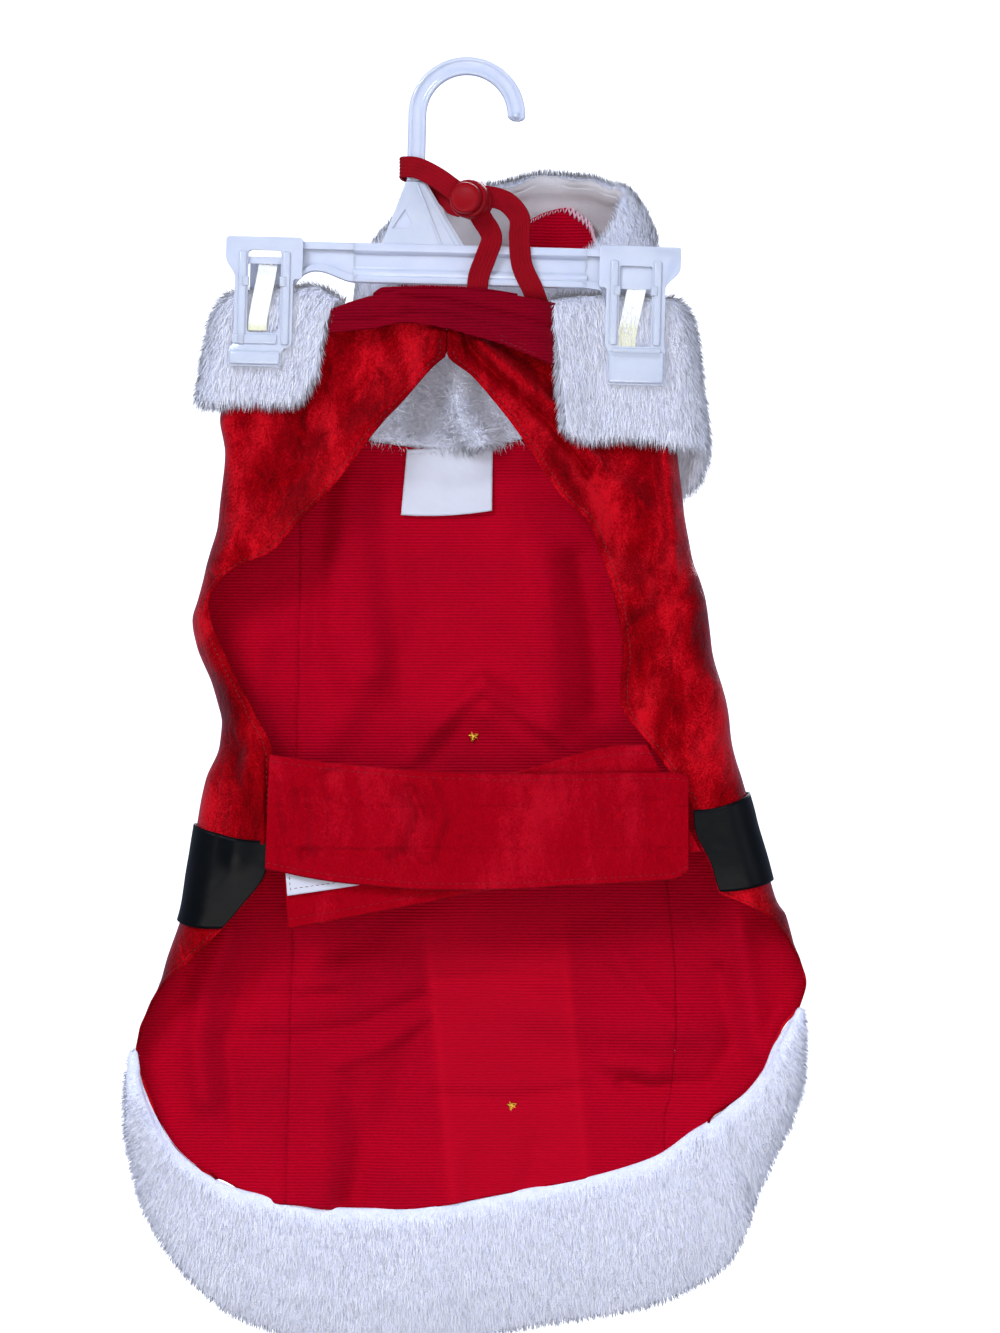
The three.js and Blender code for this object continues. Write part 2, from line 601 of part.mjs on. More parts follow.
function sideRows(pointAt, ends, rowCount) {
  return steps(rowCount).map((v) => steps(SIDE_COLUMNS_CUT).map((s) =>
    pointAt(s, lerp(valueAt(ends, "top", s), valueAt(ends, "bottom", s), v))));
}

function backRows(rowCount) {
  return steps(rowCount).map((v) => steps(BACK_COLUMNS_CUT).map((s) => {
    const neckX = lerp(NECKLINE[0].x, NECKLINE.at(-1).x, s);
    const hemX = lerp(HEM[0].x, HEM.at(-1).x, s);
    const z = lerp(valueAt(NECKLINE, "z", neckX), valueAt(HEM, "z", hemX), v);
    return backPoint(s, z);
  }));
}

// Points on the coat by the way round: 0 to 1 left side, 1 to 2 back, 2 to 3 right side.
function roundCoat(way, z) {
  if (way <= 1) return leftPoint(1 - way, z);
  if (way <= 2) return backPoint(way - 1, z);
  return rightPoint(way - 2, z);
}

// ---------------------------------------------------------------- pieces of the coat
function backPanel() {
  return wall(backRows(24), CLOTH);
}

function label() {
  const corners = { left: -27.5, right: 11, top: -167.2, bottom: -196 };
  const rows = [0, 0.33, 0.66, 1].map((v) => [0, 0.25, 0.5, 0.75, 1].map((u) => {
    const x = lerp(corners.left - 2 * v, corners.right - 0.5 * v, u);
    const z = lerp(corners.top, corners.bottom, v) + 2 * u;
    return vec(x, backY(x, z) - CLOTH / 2 - SEAM - PATCH / 2 - 0.5 * v, z);
  }));
  return wall(rows, PATCH);
}

const PLACKET_Y = CLOTH / 2 + PLACKET_EASE + PLACKET_PILE / 2; // middle of the placket behind the panel
function placketPoint(u, z) {
  const x = centreLine(z) + u * PLACKET_HALF;
  return vec(x, backY(x, z) + PLACKET_Y, z);
}

function placket() {
  const rows = steps(24).map((v) => [-1, -0.6, -0.2, 0.2, 0.6, 1].map((u) => {
    const bottomX = centreLine(-495) + u * PLACKET_HALF;
    const top = valueAt(NECKLINE, "z", CENTRE_AT_NECK + u * PLACKET_HALF) - 2;
    return placketPoint(u, lerp(top, valueAt(HEM, "z", bottomX) + 1.5, v));
  }));
  return wall(rows, PLACKET_PILE);
}

// A domed button on the placket's face, with its back towards the coat.
function button(z) {
  const seat = placketPoint(0, z).y + PLACKET_PILE / 2 + 0.8;
  const profile = [[0, 0], [BUTTON_RADIUS - 1.2, 0], [BUTTON_RADIUS, 1.2], [BUTTON_RADIUS - 0.4, 2.2],
    [BUTTON_RADIUS - 2.4, 3.2], [0, 4]].map(([r, h]) => new THREE.Vector2(r, h));
  return new THREE.LatheGeometry(profile, 20).translate(centreLine(z), seat, z);
}

function belt() {
  const ways = [
    ...steps(SIDE_COLUMNS_CUT).slice(1),
    ...steps(BACK_COLUMNS_CUT).slice(1).map((s) => 1 + s),
    ...steps(SIDE_COLUMNS_CUT).slice(1, -1).map((s) => 2 + s),
  ];
  const rows = steps(5).map((v) => ways.map((way) =>
    roundCoat(way, lerp(valueAt(BELT, "top", way), valueAt(BELT, "bottom", way), v))));
  const lie = CLOTH / 2 + BELT_EASE + BELT_CLOTH / 2;
  const overPlacket = PLACKET_Y + PLACKET_PILE / 2 + BELT_EASE + BELT_CLOTH / 2;
  return wall(moved(rows, (i, j) => {
    const p = rows[i][j];
    const off = Math.abs(p.x - centreLine(p.z)) - PLACKET_HALF;
    const onBack = p.y > 8;
    return onBack ? lerp(overPlacket, lie, smooth((off - 5) / 9)) : lie;
  }), BELT_CLOTH);
}

function hemTrim() {
  const rows = resampled(TRIM, TRIM_STATIONS).map((row) => {
    const inner = vec(row.ix, row.iy, row.iz);
    const outer = vec(row.ox, row.oy, row.oz);
    const start = TRIM_START / inner.distanceTo(outer);
    return [0, 0.33, 0.67, 1].map((t) => {
      const p = inner.clone().lerp(outer, lerp(start, 1, t));
      p.y -= 1.5 * Math.sin(Math.PI * t);
      return p;
    });
  });
  const pile = [0.75, 1, 1, 0.55];
  const last = TRIM_STATIONS - 1;
  return wall(rows, (i, j) => TRIM_PILE * pile[j] * Math.min(1, 0.45 + 5 * Math.min(i, last - i) / last));
}

// The collar's section, from its sewn edge up, over the fold and down to its free hem.
function collar() {
  const rows = resampled(COLLAR, COLLAR_STATIONS).map((row) => {
    const seam = vec(row.sx, row.sy, row.sz);
    const fold = vec(row.fx, row.fy, row.fz);
    const hem = vec(row.hx, row.hy, row.hz);
    const through = hem.clone().sub(seam).setZ(0).normalize();
    const spread = row.pile * 0.55 + 0.2;
    const shoulder = (side, drop) =>
      fold.clone().addScaledVector(through, side * spread).setZ(row.fz - drop);
    return new THREE.CatmullRomCurve3([
      seam,
      shoulder(-1, spread * 1.6),
      fold.clone().setZ(row.fz - row.pile / 2),
      shoulder(1, spread * 1.6),
      shoulder(1, 0).lerp(hem, 0.55).addScaledVector(through, 0.6),
      hem,
    ], false, "centripetal").getPoints(7);
  });
  const piles = resampled(COLLAR, COLLAR_STATIONS).map((row) => row.pile);
  return wall(rows, (i) => piles[i]);
}

function tab(rows, thickness) {
  const stations = resampled(rows, 14);
  return wall([0, 0.5, 1].map((v) => stations.map((row) =>
    vec(row.x, row.y, lerp(row.top, row.bottom, v)))), thickness);
}

function strapRows(rows, columns, fromU = 0, toU = 1, fromV = 0, toV = 1) {
  const stations = rows.map((row, i) => ({ at: i / (rows.length - 1), ...row }));
  const read = (name, u) => valueAt(stations, name, u);
  return steps(4).map((k) => lerp(fromV, toV, k)).map((v) => steps(columns).map((t) => {
    const u = lerp(fromU, toU, t);
    return vec(lerp(read("tx", u), read("bx", u), v), read("y", u), lerp(read("tz", u), read("bz", u), v));
  }));
}

function hookPatch() {
  const { fromU, toU, fromV, toV } = HOOK_PATCH;
  const forward = STRAP_CLOTH / 2 + SEAM + PATCH / 2;
  const rows = strapRows(STRAP_UNDER, 6, fromU, toU, fromV, toV)
    .map((row) => row.map((p) => p.setY(p.y - forward)));
  return wall(rows, PATCH);
}

// ---------------------------------------------------------------- pieces of the hat
function ringRows(rings, count) {
  return resampled(rings, count).map((c) => steps(RING_SIDES + 1).slice(1).map((t) => {
    const [cos, sin] = [Math.cos(t * 2 * Math.PI), Math.sin(t * 2 * Math.PI)];
    return vec(c.x + cos * c.wide + sin * c.farX, c.y + sin * c.farY, c.z + cos * c.rise + sin * c.farZ);
  }));
}

function routed(rows, count) {
  const spline = (names) => new THREE.CatmullRomCurve3(
    rows.map((row) => vec(...names.map((name) => row[name])))).getPoints(count);
  return sweep(spline(["x", "y", "z"]), spline(["wx", "wy", "wz"]),
    rectangle(ELASTIC.width, ELASTIC.thick));
}

// A drum about the toggle's axis, from one distance along it to another.
function drum(profile) {
  const axis = vec(...TOGGLE_AXIS).normalize();
  const turn = new THREE.Quaternion().setFromUnitVectors(vec(0, 1, 0), axis);
  return new THREE.LatheGeometry(profile.map(([r, h]) => new THREE.Vector2(r, h)), 28)
    .applyQuaternion(turn).translate(...TOGGLE_AT);
}

function toggleBarrel() {
  const { radius, length } = TOGGLE;
  const back = -length / 2;
  return drum([[0, back], [radius - 1, back], [radius, back + 1], [radius, -back - 1.2],
    [radius - 1.2, -back], [0, -back]]);
}

function toggleButton() {
  const base = TOGGLE.length / 2 + 0.3;
  const { buttonRadius: radius, buttonLength: length } = TOGGLE;
  return drum([[0, base], [radius, base], [radius, base + length - 1], [radius - 1, base + length],
    [0, base + length]]);
}

// ---------------------------------------------------------------- the hanger, in its own frame
function hook() {
  const points = [vec(-HOOK.radius, 0, STEM_BOTTOM), vec(-HOOK.radius, 0, -32)];
  for (const t of steps(17)) {
    const angle = Math.PI * (1 - 1.03 * t);
    points.push(vec(HOOK.radius * Math.cos(angle), 0, HOOK.radius * Math.sin(angle) - HOOK.drop));
  }
  const shifted = points.map((p) => p.setY((CLIP.plate + CLIP.rear) / 2 - 0.25));
  return sweep(shifted, shifted.map(() => vec(0, 1, 0)), oval(HOOK.deep, HOOK.wide, 12));
}

// The bar is ribbed: two flanges, a lower lip and a web set back between them.
function bar() {
  const { left, right, top, bottom, front, rear } = BAR;
  const web = 3.2; // how far the web is set back from each face
  const profile = [
    [front, top], [rear, top], [rear, top - 3.5], [rear - web, top - 4.5], [rear - web, bottom + 4.5],
    [rear, bottom + 3.5], [rear, bottom], [front, bottom], [front, bottom + 2.6],
    [front + 1.4, bottom + 3.4], [front + 1.4, bottom + 5], [front + web, bottom + 6],
    [front + web, top - 4.5], [front, top - 3.5],
  ];
  const shape = new THREE.Shape(profile.map(([y, z]) => new THREE.Vector2(y, z)));
  const rail = new THREE.ExtrudeGeometry(shape, { depth: right - left, bevelEnabled: false });
  rail.applyMatrix4(new THREE.Matrix4().makeBasis(vec(0, 1, 0), vec(0, 0, 1), vec(1, 0, 0)));
  rail.translate(left, 0, 0);
  const gusset = plate([[-37, top - 2], [1.5, top - 2], [-17.4, -48], [-26.3, -48]], -9, -3);
  return join(rail, gusset);
}

// A clip's front jaw: a windowed plate under a beam, by the x of its parts.
const CLIP_COLUMNS = ["name", "outer", "inner", "legL", "legR", "winL", "winR", "winTop", "winEnd",
  "jawL", "jawR", "jawTop", "jawEnd"];
const CLIPS = table(CLIP_COLUMNS, [
  ["left", -105, -71, -100.8, -75, -95, -80.5, -80.5, -117, -103, -79.5, -124, -132],
  ["right", 96.6, 60.5, 90, 63.8, 84, 69.6, -83.3, -119, 90.5, 65, -120, -136],
]);

function clipFrame(c) {
  const { outer, inner, legL, legR, winL, winR, winTop, winEnd, jawL, jawR, jawTop, jawEnd } = c;
  const outline = [[outer, CLIP.top], [outer, -87.5], [legL, -92], [legL, jawTop], [jawL, jawTop - 1],
    [jawL, jawEnd + 2], [lerp(jawL, jawR, 0.08), jawEnd], [lerp(jawL, jawR, 0.92), jawEnd],
    [jawR, jawEnd + 2], [jawR, jawTop - 1], [legR, jawTop], [legR, -93], [inner, -93], [inner, CLIP.top]];
  const window = [[winL, winTop], [winR, winTop], [winR, winEnd], [winL, winEnd]];
  const face = plate(outline, CLIP.front, CLIP.plate, window);
  const beam = plate([[outer, CLIP.top], [outer, CLIP.beam], [inner, CLIP.beam], [inner, CLIP.top]],
    CLIP.front + 0.5, CLIP.rear);
  return join(face, beam);
}

// A clip's rear jaw: a plate inside the coat, with a pad that meets the cloth.
function clipBack(c) {
  const middle = (c.winL + c.winR) / 2;
  const [low, high] = [middle - CLIP.backWide / 2, middle + CLIP.backWide / 2];
  const across = (top, from, to) =>
    plate([[low, top], [high, top], [high, c.jawEnd], [low, c.jawEnd]], from, to);
  return join(across(-88.5, 0.5, 2.5), across(c.jawTop, -1.25, 1.5));
}

// The spring is a bent steel strip over both jaws.
function clipSpring(c) {
  const middle = (c.winL + c.winR) / 2;
  const lean = c.name === "left" ? -2.6 : -4;
  const legs = [[-9.9, -116, lean], [-9.9, -90, 1], [-9, -85.2, 1.6], [-3.4, -83.6, 1.8],
    [2, -84.8, 1.8], [3.2, -88, 1.8], [3.2, -116, 1.8]];
  const points = legs.map(([y, z, dx]) => vec(middle + dx, y, z));
  return sweep(points, points.map(() => vec(1, 0, 0)), rectangle(8.6, 0.6));
}

// ---------------------------------------------------------------- assembly
const suit = new THREE.Group();
const hanger = new THREE.Group();
hanger.rotation.y = THREE.MathUtils.degToRad(HANGER_TILT);
suit.position.y = COAT_PLANE;
suit.add(hanger);

function add(group, name, geometry, material) {
  const mesh = new THREE.Mesh(geometry, material);
  mesh.name = name;
  group.add(mesh);
  return mesh;
}

add(hanger, "hanger_hook", hook(), HANGER_PLASTIC);
add(hanger, "hanger_bar", bar(), HANGER_PLASTIC);
for (const c of CLIPS) {
  add(hanger, `clip_front_${c.name}`, clipFrame(c), HANGER_PLASTIC);
  add(hanger, `clip_back_${c.name}`, clipBack(c), HANGER_PLASTIC);
  add(hanger, `clip_spring_${c.name}`, clipSpring(c), STEEL);
}

add(suit, "back_panel", backPanel(), KNIT);
add(suit, "side_left", wall(sideRows(leftPoint, LEFT_ENDS, 25), CLOTH), VELVET);
add(suit, "side_right", wall(sideRows(rightPoint, RIGHT_ENDS, 23), CLOTH), VELVET);
add(suit, "hem_trim", hemTrim(), PLUSH);
add(suit, "collar", collar(), PLUSH);
add(suit, "neck_tab_over", tab(TAB_OVER, TAB_CLOTH), KNIT);
add(suit, "neck_tab_under", tab(TAB_UNDER, CLOTH), KNIT);
add(suit, "belly_strap_over", wall(strapRows(STRAP_OVER, 11), STRAP_CLOTH), VELVET);
add(suit, "belly_strap_under", wall(strapRows(STRAP_UNDER, 11), STRAP_CLOTH), VELVET);
add(suit, "hook_patch", hookPatch(), TAPE);
add(suit, "belt", belt(), SATIN);
add(suit, "placket", placket(), PLUSH);
const BUTTON_HEIGHTS = { upper: -294, lower: -459.5 };
for (const [name, z] of Object.entries(BUTTON_HEIGHTS))
  add(suit, `button_${name}`, button(z), GOLD);
add(suit, "label", label(), TAPE);

add(suit, "hat_brim", wall(ringRows(BRIM_RINGS, 5), BRIM_PILE, true), PLUSH);
add(suit, "hat_cone", wall(ringRows(CONE_RINGS, 8), CLOTH, true), VELVET);
add(suit, "hat_pompom", new THREE.SphereGeometry(POMPOM_RADIUS, 16, 9).translate(...POMPOM_AT), PLUSH);
add(suit, "elastic_left", routed(LEFT_STRAND, 18), ELASTIC_RED);
add(suit, "elastic_right", routed(RIGHT_STRAND, 20), ELASTIC_RED);
add(suit, "elastic_loop", routed(STEM_LOOP, 26), ELASTIC_RED);
add(suit, "toggle_barrel", toggleBarrel(), TOGGLE_RED);
add(suit, "toggle_button", toggleButton(), TOGGLE_RED);

export default suit;
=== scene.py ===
"""A dog's Santa suit on its clip hanger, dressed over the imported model.

The coat hangs open side forward: its back panel shows the knitted inside, the two sides fold
round the flanks to the throat, plush edges the neck and the hem, and the hat hangs behind the
bar on its elastic. Tables are in millimetres, y measured from the coat's own plane.
"""

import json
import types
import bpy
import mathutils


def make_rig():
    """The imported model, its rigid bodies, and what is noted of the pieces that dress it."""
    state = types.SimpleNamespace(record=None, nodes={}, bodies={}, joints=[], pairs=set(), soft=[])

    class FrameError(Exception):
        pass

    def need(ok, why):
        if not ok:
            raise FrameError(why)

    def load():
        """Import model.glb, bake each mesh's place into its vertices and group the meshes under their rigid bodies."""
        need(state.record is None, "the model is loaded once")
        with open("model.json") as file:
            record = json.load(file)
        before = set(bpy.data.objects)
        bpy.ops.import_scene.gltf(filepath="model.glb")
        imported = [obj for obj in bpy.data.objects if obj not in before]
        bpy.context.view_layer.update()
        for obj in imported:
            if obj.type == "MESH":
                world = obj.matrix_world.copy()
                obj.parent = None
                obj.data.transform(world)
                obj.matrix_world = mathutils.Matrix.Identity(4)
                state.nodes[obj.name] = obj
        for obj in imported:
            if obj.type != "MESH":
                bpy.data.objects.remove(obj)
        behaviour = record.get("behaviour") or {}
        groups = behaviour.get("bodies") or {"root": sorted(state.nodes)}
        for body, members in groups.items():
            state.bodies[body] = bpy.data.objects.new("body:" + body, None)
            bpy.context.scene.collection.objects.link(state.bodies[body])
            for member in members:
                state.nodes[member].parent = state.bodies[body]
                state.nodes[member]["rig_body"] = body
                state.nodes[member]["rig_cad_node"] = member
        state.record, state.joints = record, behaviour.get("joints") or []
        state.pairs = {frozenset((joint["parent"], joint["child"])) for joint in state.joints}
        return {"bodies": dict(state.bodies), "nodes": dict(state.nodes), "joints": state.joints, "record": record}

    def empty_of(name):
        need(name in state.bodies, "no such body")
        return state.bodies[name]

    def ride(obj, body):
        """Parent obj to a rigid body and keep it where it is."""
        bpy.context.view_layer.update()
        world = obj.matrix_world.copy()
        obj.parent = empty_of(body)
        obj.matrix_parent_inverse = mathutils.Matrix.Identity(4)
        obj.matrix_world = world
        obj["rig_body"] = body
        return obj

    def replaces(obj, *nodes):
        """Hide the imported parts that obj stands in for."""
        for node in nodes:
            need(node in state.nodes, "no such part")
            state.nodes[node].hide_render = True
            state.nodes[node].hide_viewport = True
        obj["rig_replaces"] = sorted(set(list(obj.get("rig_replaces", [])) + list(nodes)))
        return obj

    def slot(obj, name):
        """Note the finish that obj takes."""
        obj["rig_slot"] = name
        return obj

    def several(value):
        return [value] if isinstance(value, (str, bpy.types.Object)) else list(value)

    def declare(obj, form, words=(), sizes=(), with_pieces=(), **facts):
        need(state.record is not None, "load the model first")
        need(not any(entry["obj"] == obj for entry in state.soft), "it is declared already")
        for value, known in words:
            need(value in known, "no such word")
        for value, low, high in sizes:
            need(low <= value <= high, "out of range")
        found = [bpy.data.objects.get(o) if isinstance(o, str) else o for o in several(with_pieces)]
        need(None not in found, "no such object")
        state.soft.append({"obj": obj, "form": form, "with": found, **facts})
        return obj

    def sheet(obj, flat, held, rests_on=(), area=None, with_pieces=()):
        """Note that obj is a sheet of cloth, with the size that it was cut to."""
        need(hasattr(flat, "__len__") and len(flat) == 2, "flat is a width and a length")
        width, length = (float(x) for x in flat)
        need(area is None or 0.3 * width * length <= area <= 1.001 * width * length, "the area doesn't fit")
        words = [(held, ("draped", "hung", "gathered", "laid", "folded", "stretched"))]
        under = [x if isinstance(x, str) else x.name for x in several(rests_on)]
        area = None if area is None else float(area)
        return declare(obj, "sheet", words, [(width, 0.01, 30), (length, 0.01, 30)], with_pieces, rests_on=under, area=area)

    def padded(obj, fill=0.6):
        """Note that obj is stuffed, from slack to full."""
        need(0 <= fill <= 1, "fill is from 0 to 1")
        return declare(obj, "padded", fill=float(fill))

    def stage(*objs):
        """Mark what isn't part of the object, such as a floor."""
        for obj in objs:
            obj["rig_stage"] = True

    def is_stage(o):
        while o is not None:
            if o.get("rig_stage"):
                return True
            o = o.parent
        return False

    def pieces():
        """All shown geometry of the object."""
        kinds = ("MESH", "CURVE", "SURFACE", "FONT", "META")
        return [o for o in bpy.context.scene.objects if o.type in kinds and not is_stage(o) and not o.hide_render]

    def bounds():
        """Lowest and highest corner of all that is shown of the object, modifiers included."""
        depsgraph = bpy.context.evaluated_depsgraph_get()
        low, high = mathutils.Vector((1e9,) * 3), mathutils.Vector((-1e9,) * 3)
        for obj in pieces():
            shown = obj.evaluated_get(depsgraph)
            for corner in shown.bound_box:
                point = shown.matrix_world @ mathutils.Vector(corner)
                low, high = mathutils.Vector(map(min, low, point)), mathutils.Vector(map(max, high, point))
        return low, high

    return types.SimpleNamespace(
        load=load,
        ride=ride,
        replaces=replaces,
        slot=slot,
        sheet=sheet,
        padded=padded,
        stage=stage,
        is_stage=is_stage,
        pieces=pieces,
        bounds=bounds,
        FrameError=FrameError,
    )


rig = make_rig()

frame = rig.load()

import json
import logging
import math
from dataclasses import dataclass
from enum import Enum
from typing import Sequence

import bmesh
import bpy
import numpy as np
from mathutils import Matrix, Vector, noise

CAD_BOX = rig.bounds()
LOG = logging.getLogger("santa_suit")

MM = 0.001  # a millimetre in metres
COAT_PLANE = 6.0  # the tables' y = 0 lies this far behind the hook
HANGER_TILT = math.radians(1.5)  # the hanger hangs with its right end low
CLOTH = 1.2
SEAM = 0.6
JOIN = 0.02  # between the edges of two panels that are sewn together
GAP = 0.15  # between cloths that lie on each other
PLACKET_HALF = 31.0

BELLYWARD = np.array([0, -1.0, 0])  # towards the belly side, which faces the camera

Array = np.ndarray
Amount = Array | float
Grid = np.ndarray  # rows x columns x (x, y, z)
Table = Sequence[Sequence[float]]
Outline = Sequence[tuple[float, float]]
Shape = bmesh.types.BMesh
Material, Mesh, Piece = bpy.types.Material, bpy.types.Mesh, bpy.types.Object
Node, Tree = bpy.types.Node, bpy.types.NodeTree


class Face(Enum):
    """Which way the front of a sheet's grid looks."""

    AS_LAID = False
    TURNED = True


class Seams(Enum):
    """Which edges of a grid meet."""

    OPEN = "open"  # a plain sheet
    TUBE = "tube"  # the first column meets the last
    CAPPED = "capped"  # a tube with both ends filled
    CLOSED = "closed"  # the first row meets the last as well


# ---------------- numbers and curves
class Curve:
    """A curve through a table's rows, by its first column, that never overshoots them."""

    def __init__(self, rows: Table) -> None:
        """Sorts the rows by the key in their first column and finds the slope at each."""
        table = np.asarray(sorted(rows), float)
        self.key, self.value = table[:, 0], table[:, 1:]
        slope = np.diff(self.value, axis=0) / np.diff(self.key)[:, None]
        before, after = slope[:-1], slope[1:]
        same = before * after > 0
        inner = np.where(same, 2 * before * after / np.where(same, before + after, 1), 0)
        flat = np.zeros((1, self.value.shape[1]))
        self.tangent = np.vstack([flat, inner, flat])

    def __call__(self, key: Array | float) -> Array:
        """The table's other columns.

        Args:
            key: one key or an array of them.

        Returns:
            The values, with one more axis than the key.
        """
        key = np.clip(np.asarray(key, float), self.key[0], self.key[-1])
        i = np.clip(np.searchsorted(self.key, key, side="right") - 1, 0, len(self.key) - 2)
        h = (self.key[i + 1] - self.key[i])[..., None]
        t = (key - self.key[i])[..., None] / h
        ends = self.value[i] * (1 + 2 * t) * (1 - t) ** 2 + self.value[i + 1] * t * t * (3 - 2 * t)
        return ends + h * (self.tangent[i] * t * (1 - t) ** 2 - self.tangent[i + 1] * (1 - t) * t * t)


def steps(count: int, start: float = 0, stop: float = 1) -> Array:
    """Evenly spaced numbers."""
    return np.linspace(start, stop, count)


def evenly(rows: Table, share: Array) -> Array:
    """A table's columns at shares of the way down it, on a curve through its rows."""
    return Curve([(i / (len(rows) - 1), *row) for i, row in enumerate(rows)])(share)


def lerp(a: Amount, b: Amount, t: Amount) -> Amount:
    """The value a share t of the way from a to b."""
    return a + (b - a) * t


def smooth(t: Amount) -> Amount:
    """An eased step from 0 to 1."""
    t = np.clip(t, 0, 1)
    return t * t * (3 - 2 * t)


def bell(off: Array, width: float) -> Array:
    """1 at no distance, falling off softly over a width."""
    return np.exp(-((off / width) ** 2))


def unit(vectors: Array) -> Array:
    """Vectors brought to length 1."""
    return vectors / np.maximum(np.linalg.norm(vectors, axis=-1, keepdims=True), 1e-9)


def spline(points: Table, count: int) -> Array:
    """A smooth curve through points, paced by the root of their spacing.

    Args:
        points: what it passes through.
        count: how many points to return.

    Returns:
        Points on the curve.
    """
    given = np.asarray(points, float)
    p = np.vstack([2 * given[0] - given[1], given, 2 * given[-1] - given[-2]])
    t = steps(count, 0, len(given) - 1)
    i = np.minimum(t.astype(int), len(given) - 2)
    w = (t - i)[:, None]
    p0, p1, p2, p3 = p[i], p[i + 1], p[i + 2], p[i + 3]
    d0, d1, d2 = (np.sqrt(np.linalg.norm(b - a, axis=1))[:, None] for a, b in ((p0, p1), (p1, p2), (p2, p3)))
    leave = ((p1 - p0) / d0 - (p2 - p0) / (d0 + d1) + (p2 - p1) / d1) * d1
    reach = ((p2 - p1) / d1 - (p3 - p1) / (d1 + d2) + (p3 - p2) / d2) * d1
    square = -3 * p1 + 3 * p2 - 2 * leave - reach
    return p1 + leave * w + square * w**2 + (2 * p1 - 2 * p2 + leave + reach) * w**3


def run(points: Array) -> Array:
    """How far along a line each of its points lies."""
    return np.concatenate([[0], np.linalg.norm(np.diff(points, axis=0), axis=1).cumsum()])


def picked(at: float | Array, length: Array, vectors: Array) -> Array:
    """What a line's vectors are at distances along it."""
    return np.stack([np.interp(at, length, vectors[:, k]) for k in range(3)], axis=-1)


def fold_rise(folds: Sequence[tuple], x: Array, z: Array) -> Array:
    """Height in y of soft folds at points of a panel; negative comes towards the belly side.

    Args:
        folds: (line of (x, z) points, width, rise) for each fold.
        x: the points' x.
        z: the points' z.

    Returns:
        The rise at each point.
    """
    total = np.zeros(np.broadcast(x, z).shape)
    for line, width, rise in folds:
        away = np.full(total.shape, 1e9)
        for (x0, z0), (x1, z1) in zip(line, line[1:]):
            dx, dz = x1 - x0, z1 - z0
            t = np.clip(((x - x0) * dx + (z - z0) * dz) / (dx * dx + dz * dz), 0, 1)
            away = np.minimum(away, np.hypot(x - x0 - dx * t, z - z0 - dz * t))
        total += rise * bell(away, width)
    return total


def change(grid: Grid, axis: int, closed: bool) -> Grid:
    """How a grid's points change along an axis.

    Args:
        grid: the points.
        axis: 0 down the grid, 1 across it.
        closed: whether it closes on itself along the axis.

    Returns:
        A vector for each point.
    """
    if not closed:
        return np.gradient(grid, axis=axis)
    core = np.delete(grid, -1, axis=axis)
    step = np.roll(core, -1, axis=axis) - np.roll(core, 1, axis=axis)
    return np.concatenate([step, np.take(step, [0], axis=axis)], axis=axis)


def normals(grid: Grid, round_columns: bool = False, round_rows: bool = False) -> Grid:
    """Unit vectors square to a grid, whose last column or row may repeat its first."""
    return unit(np.cross(change(grid, 1, round_columns), change(grid, 0, round_rows)))


def fluff(points: Array, size: float, seed: float) -> Array:
    """Soft noise of about -1 to 1 at points, with lumps of a given size in millimetres."""
    flat = points.reshape(-1, 3) / size + seed
    return np.array([noise.noise(Vector(p)) for p in flat]).reshape(points.shape[:-1])


def spans(grid: Grid) -> tuple[Array, Array]:
    """How far across its row and down its column each point of a grid lies."""
    across, down = (np.linalg.norm(np.diff(grid, axis=k), axis=2).cumsum(axis=k) for k in (1, 0))
    return np.pad(across, ((0, 0), (1, 0))), np.pad(down, ((1, 0), (0, 0)))


def cut_size(grid: Grid) -> dict:
    """A sheet's size before it was hung.

    Args:
        grid: its middle surface.

    Returns:
        flat, its longest ways across and down in metres, and area in square metres.
    """
    across, down = spans(grid)
    size = (across[:, -1].max() * MM, down[-1].max() * MM)
    one = np.cross(grid[1:, :-1] - grid[:-1, :-1], grid[:-1, 1:] - grid[:-1, :-1])
    two = np.cross(grid[1:, :-1] - grid[1:, 1:], grid[:-1, 1:] - grid[1:, 1:])
    area = float((np.linalg.norm(one, axis=2).sum() + np.linalg.norm(two, axis=2).sum()) / 2)
    return {"flat": size, "area": min(area * 1e-6, size[0] * size[1])}


def placed(points: Array, on_hanger: bool = False) -> Array:
    """Points of the tables put in the model's frame in metres.

    Args:
        points: the points.
        on_hanger: whether they belong to the hanger, which hangs askew.

    Returns:
        The same points in the model's frame.
    """
    out = np.array(points, float)
    if on_hanger:
        x, z = out[..., 0].copy(), out[..., 2].copy()
        out[..., 0] = x * math.cos(HANGER_TILT) + z * math.sin(HANGER_TILT)
        out[..., 2] = z * math.cos(HANGER_TILT) - x * math.sin(HANGER_TILT)
    out[..., 1] += COAT_PLANE
    return out * MM


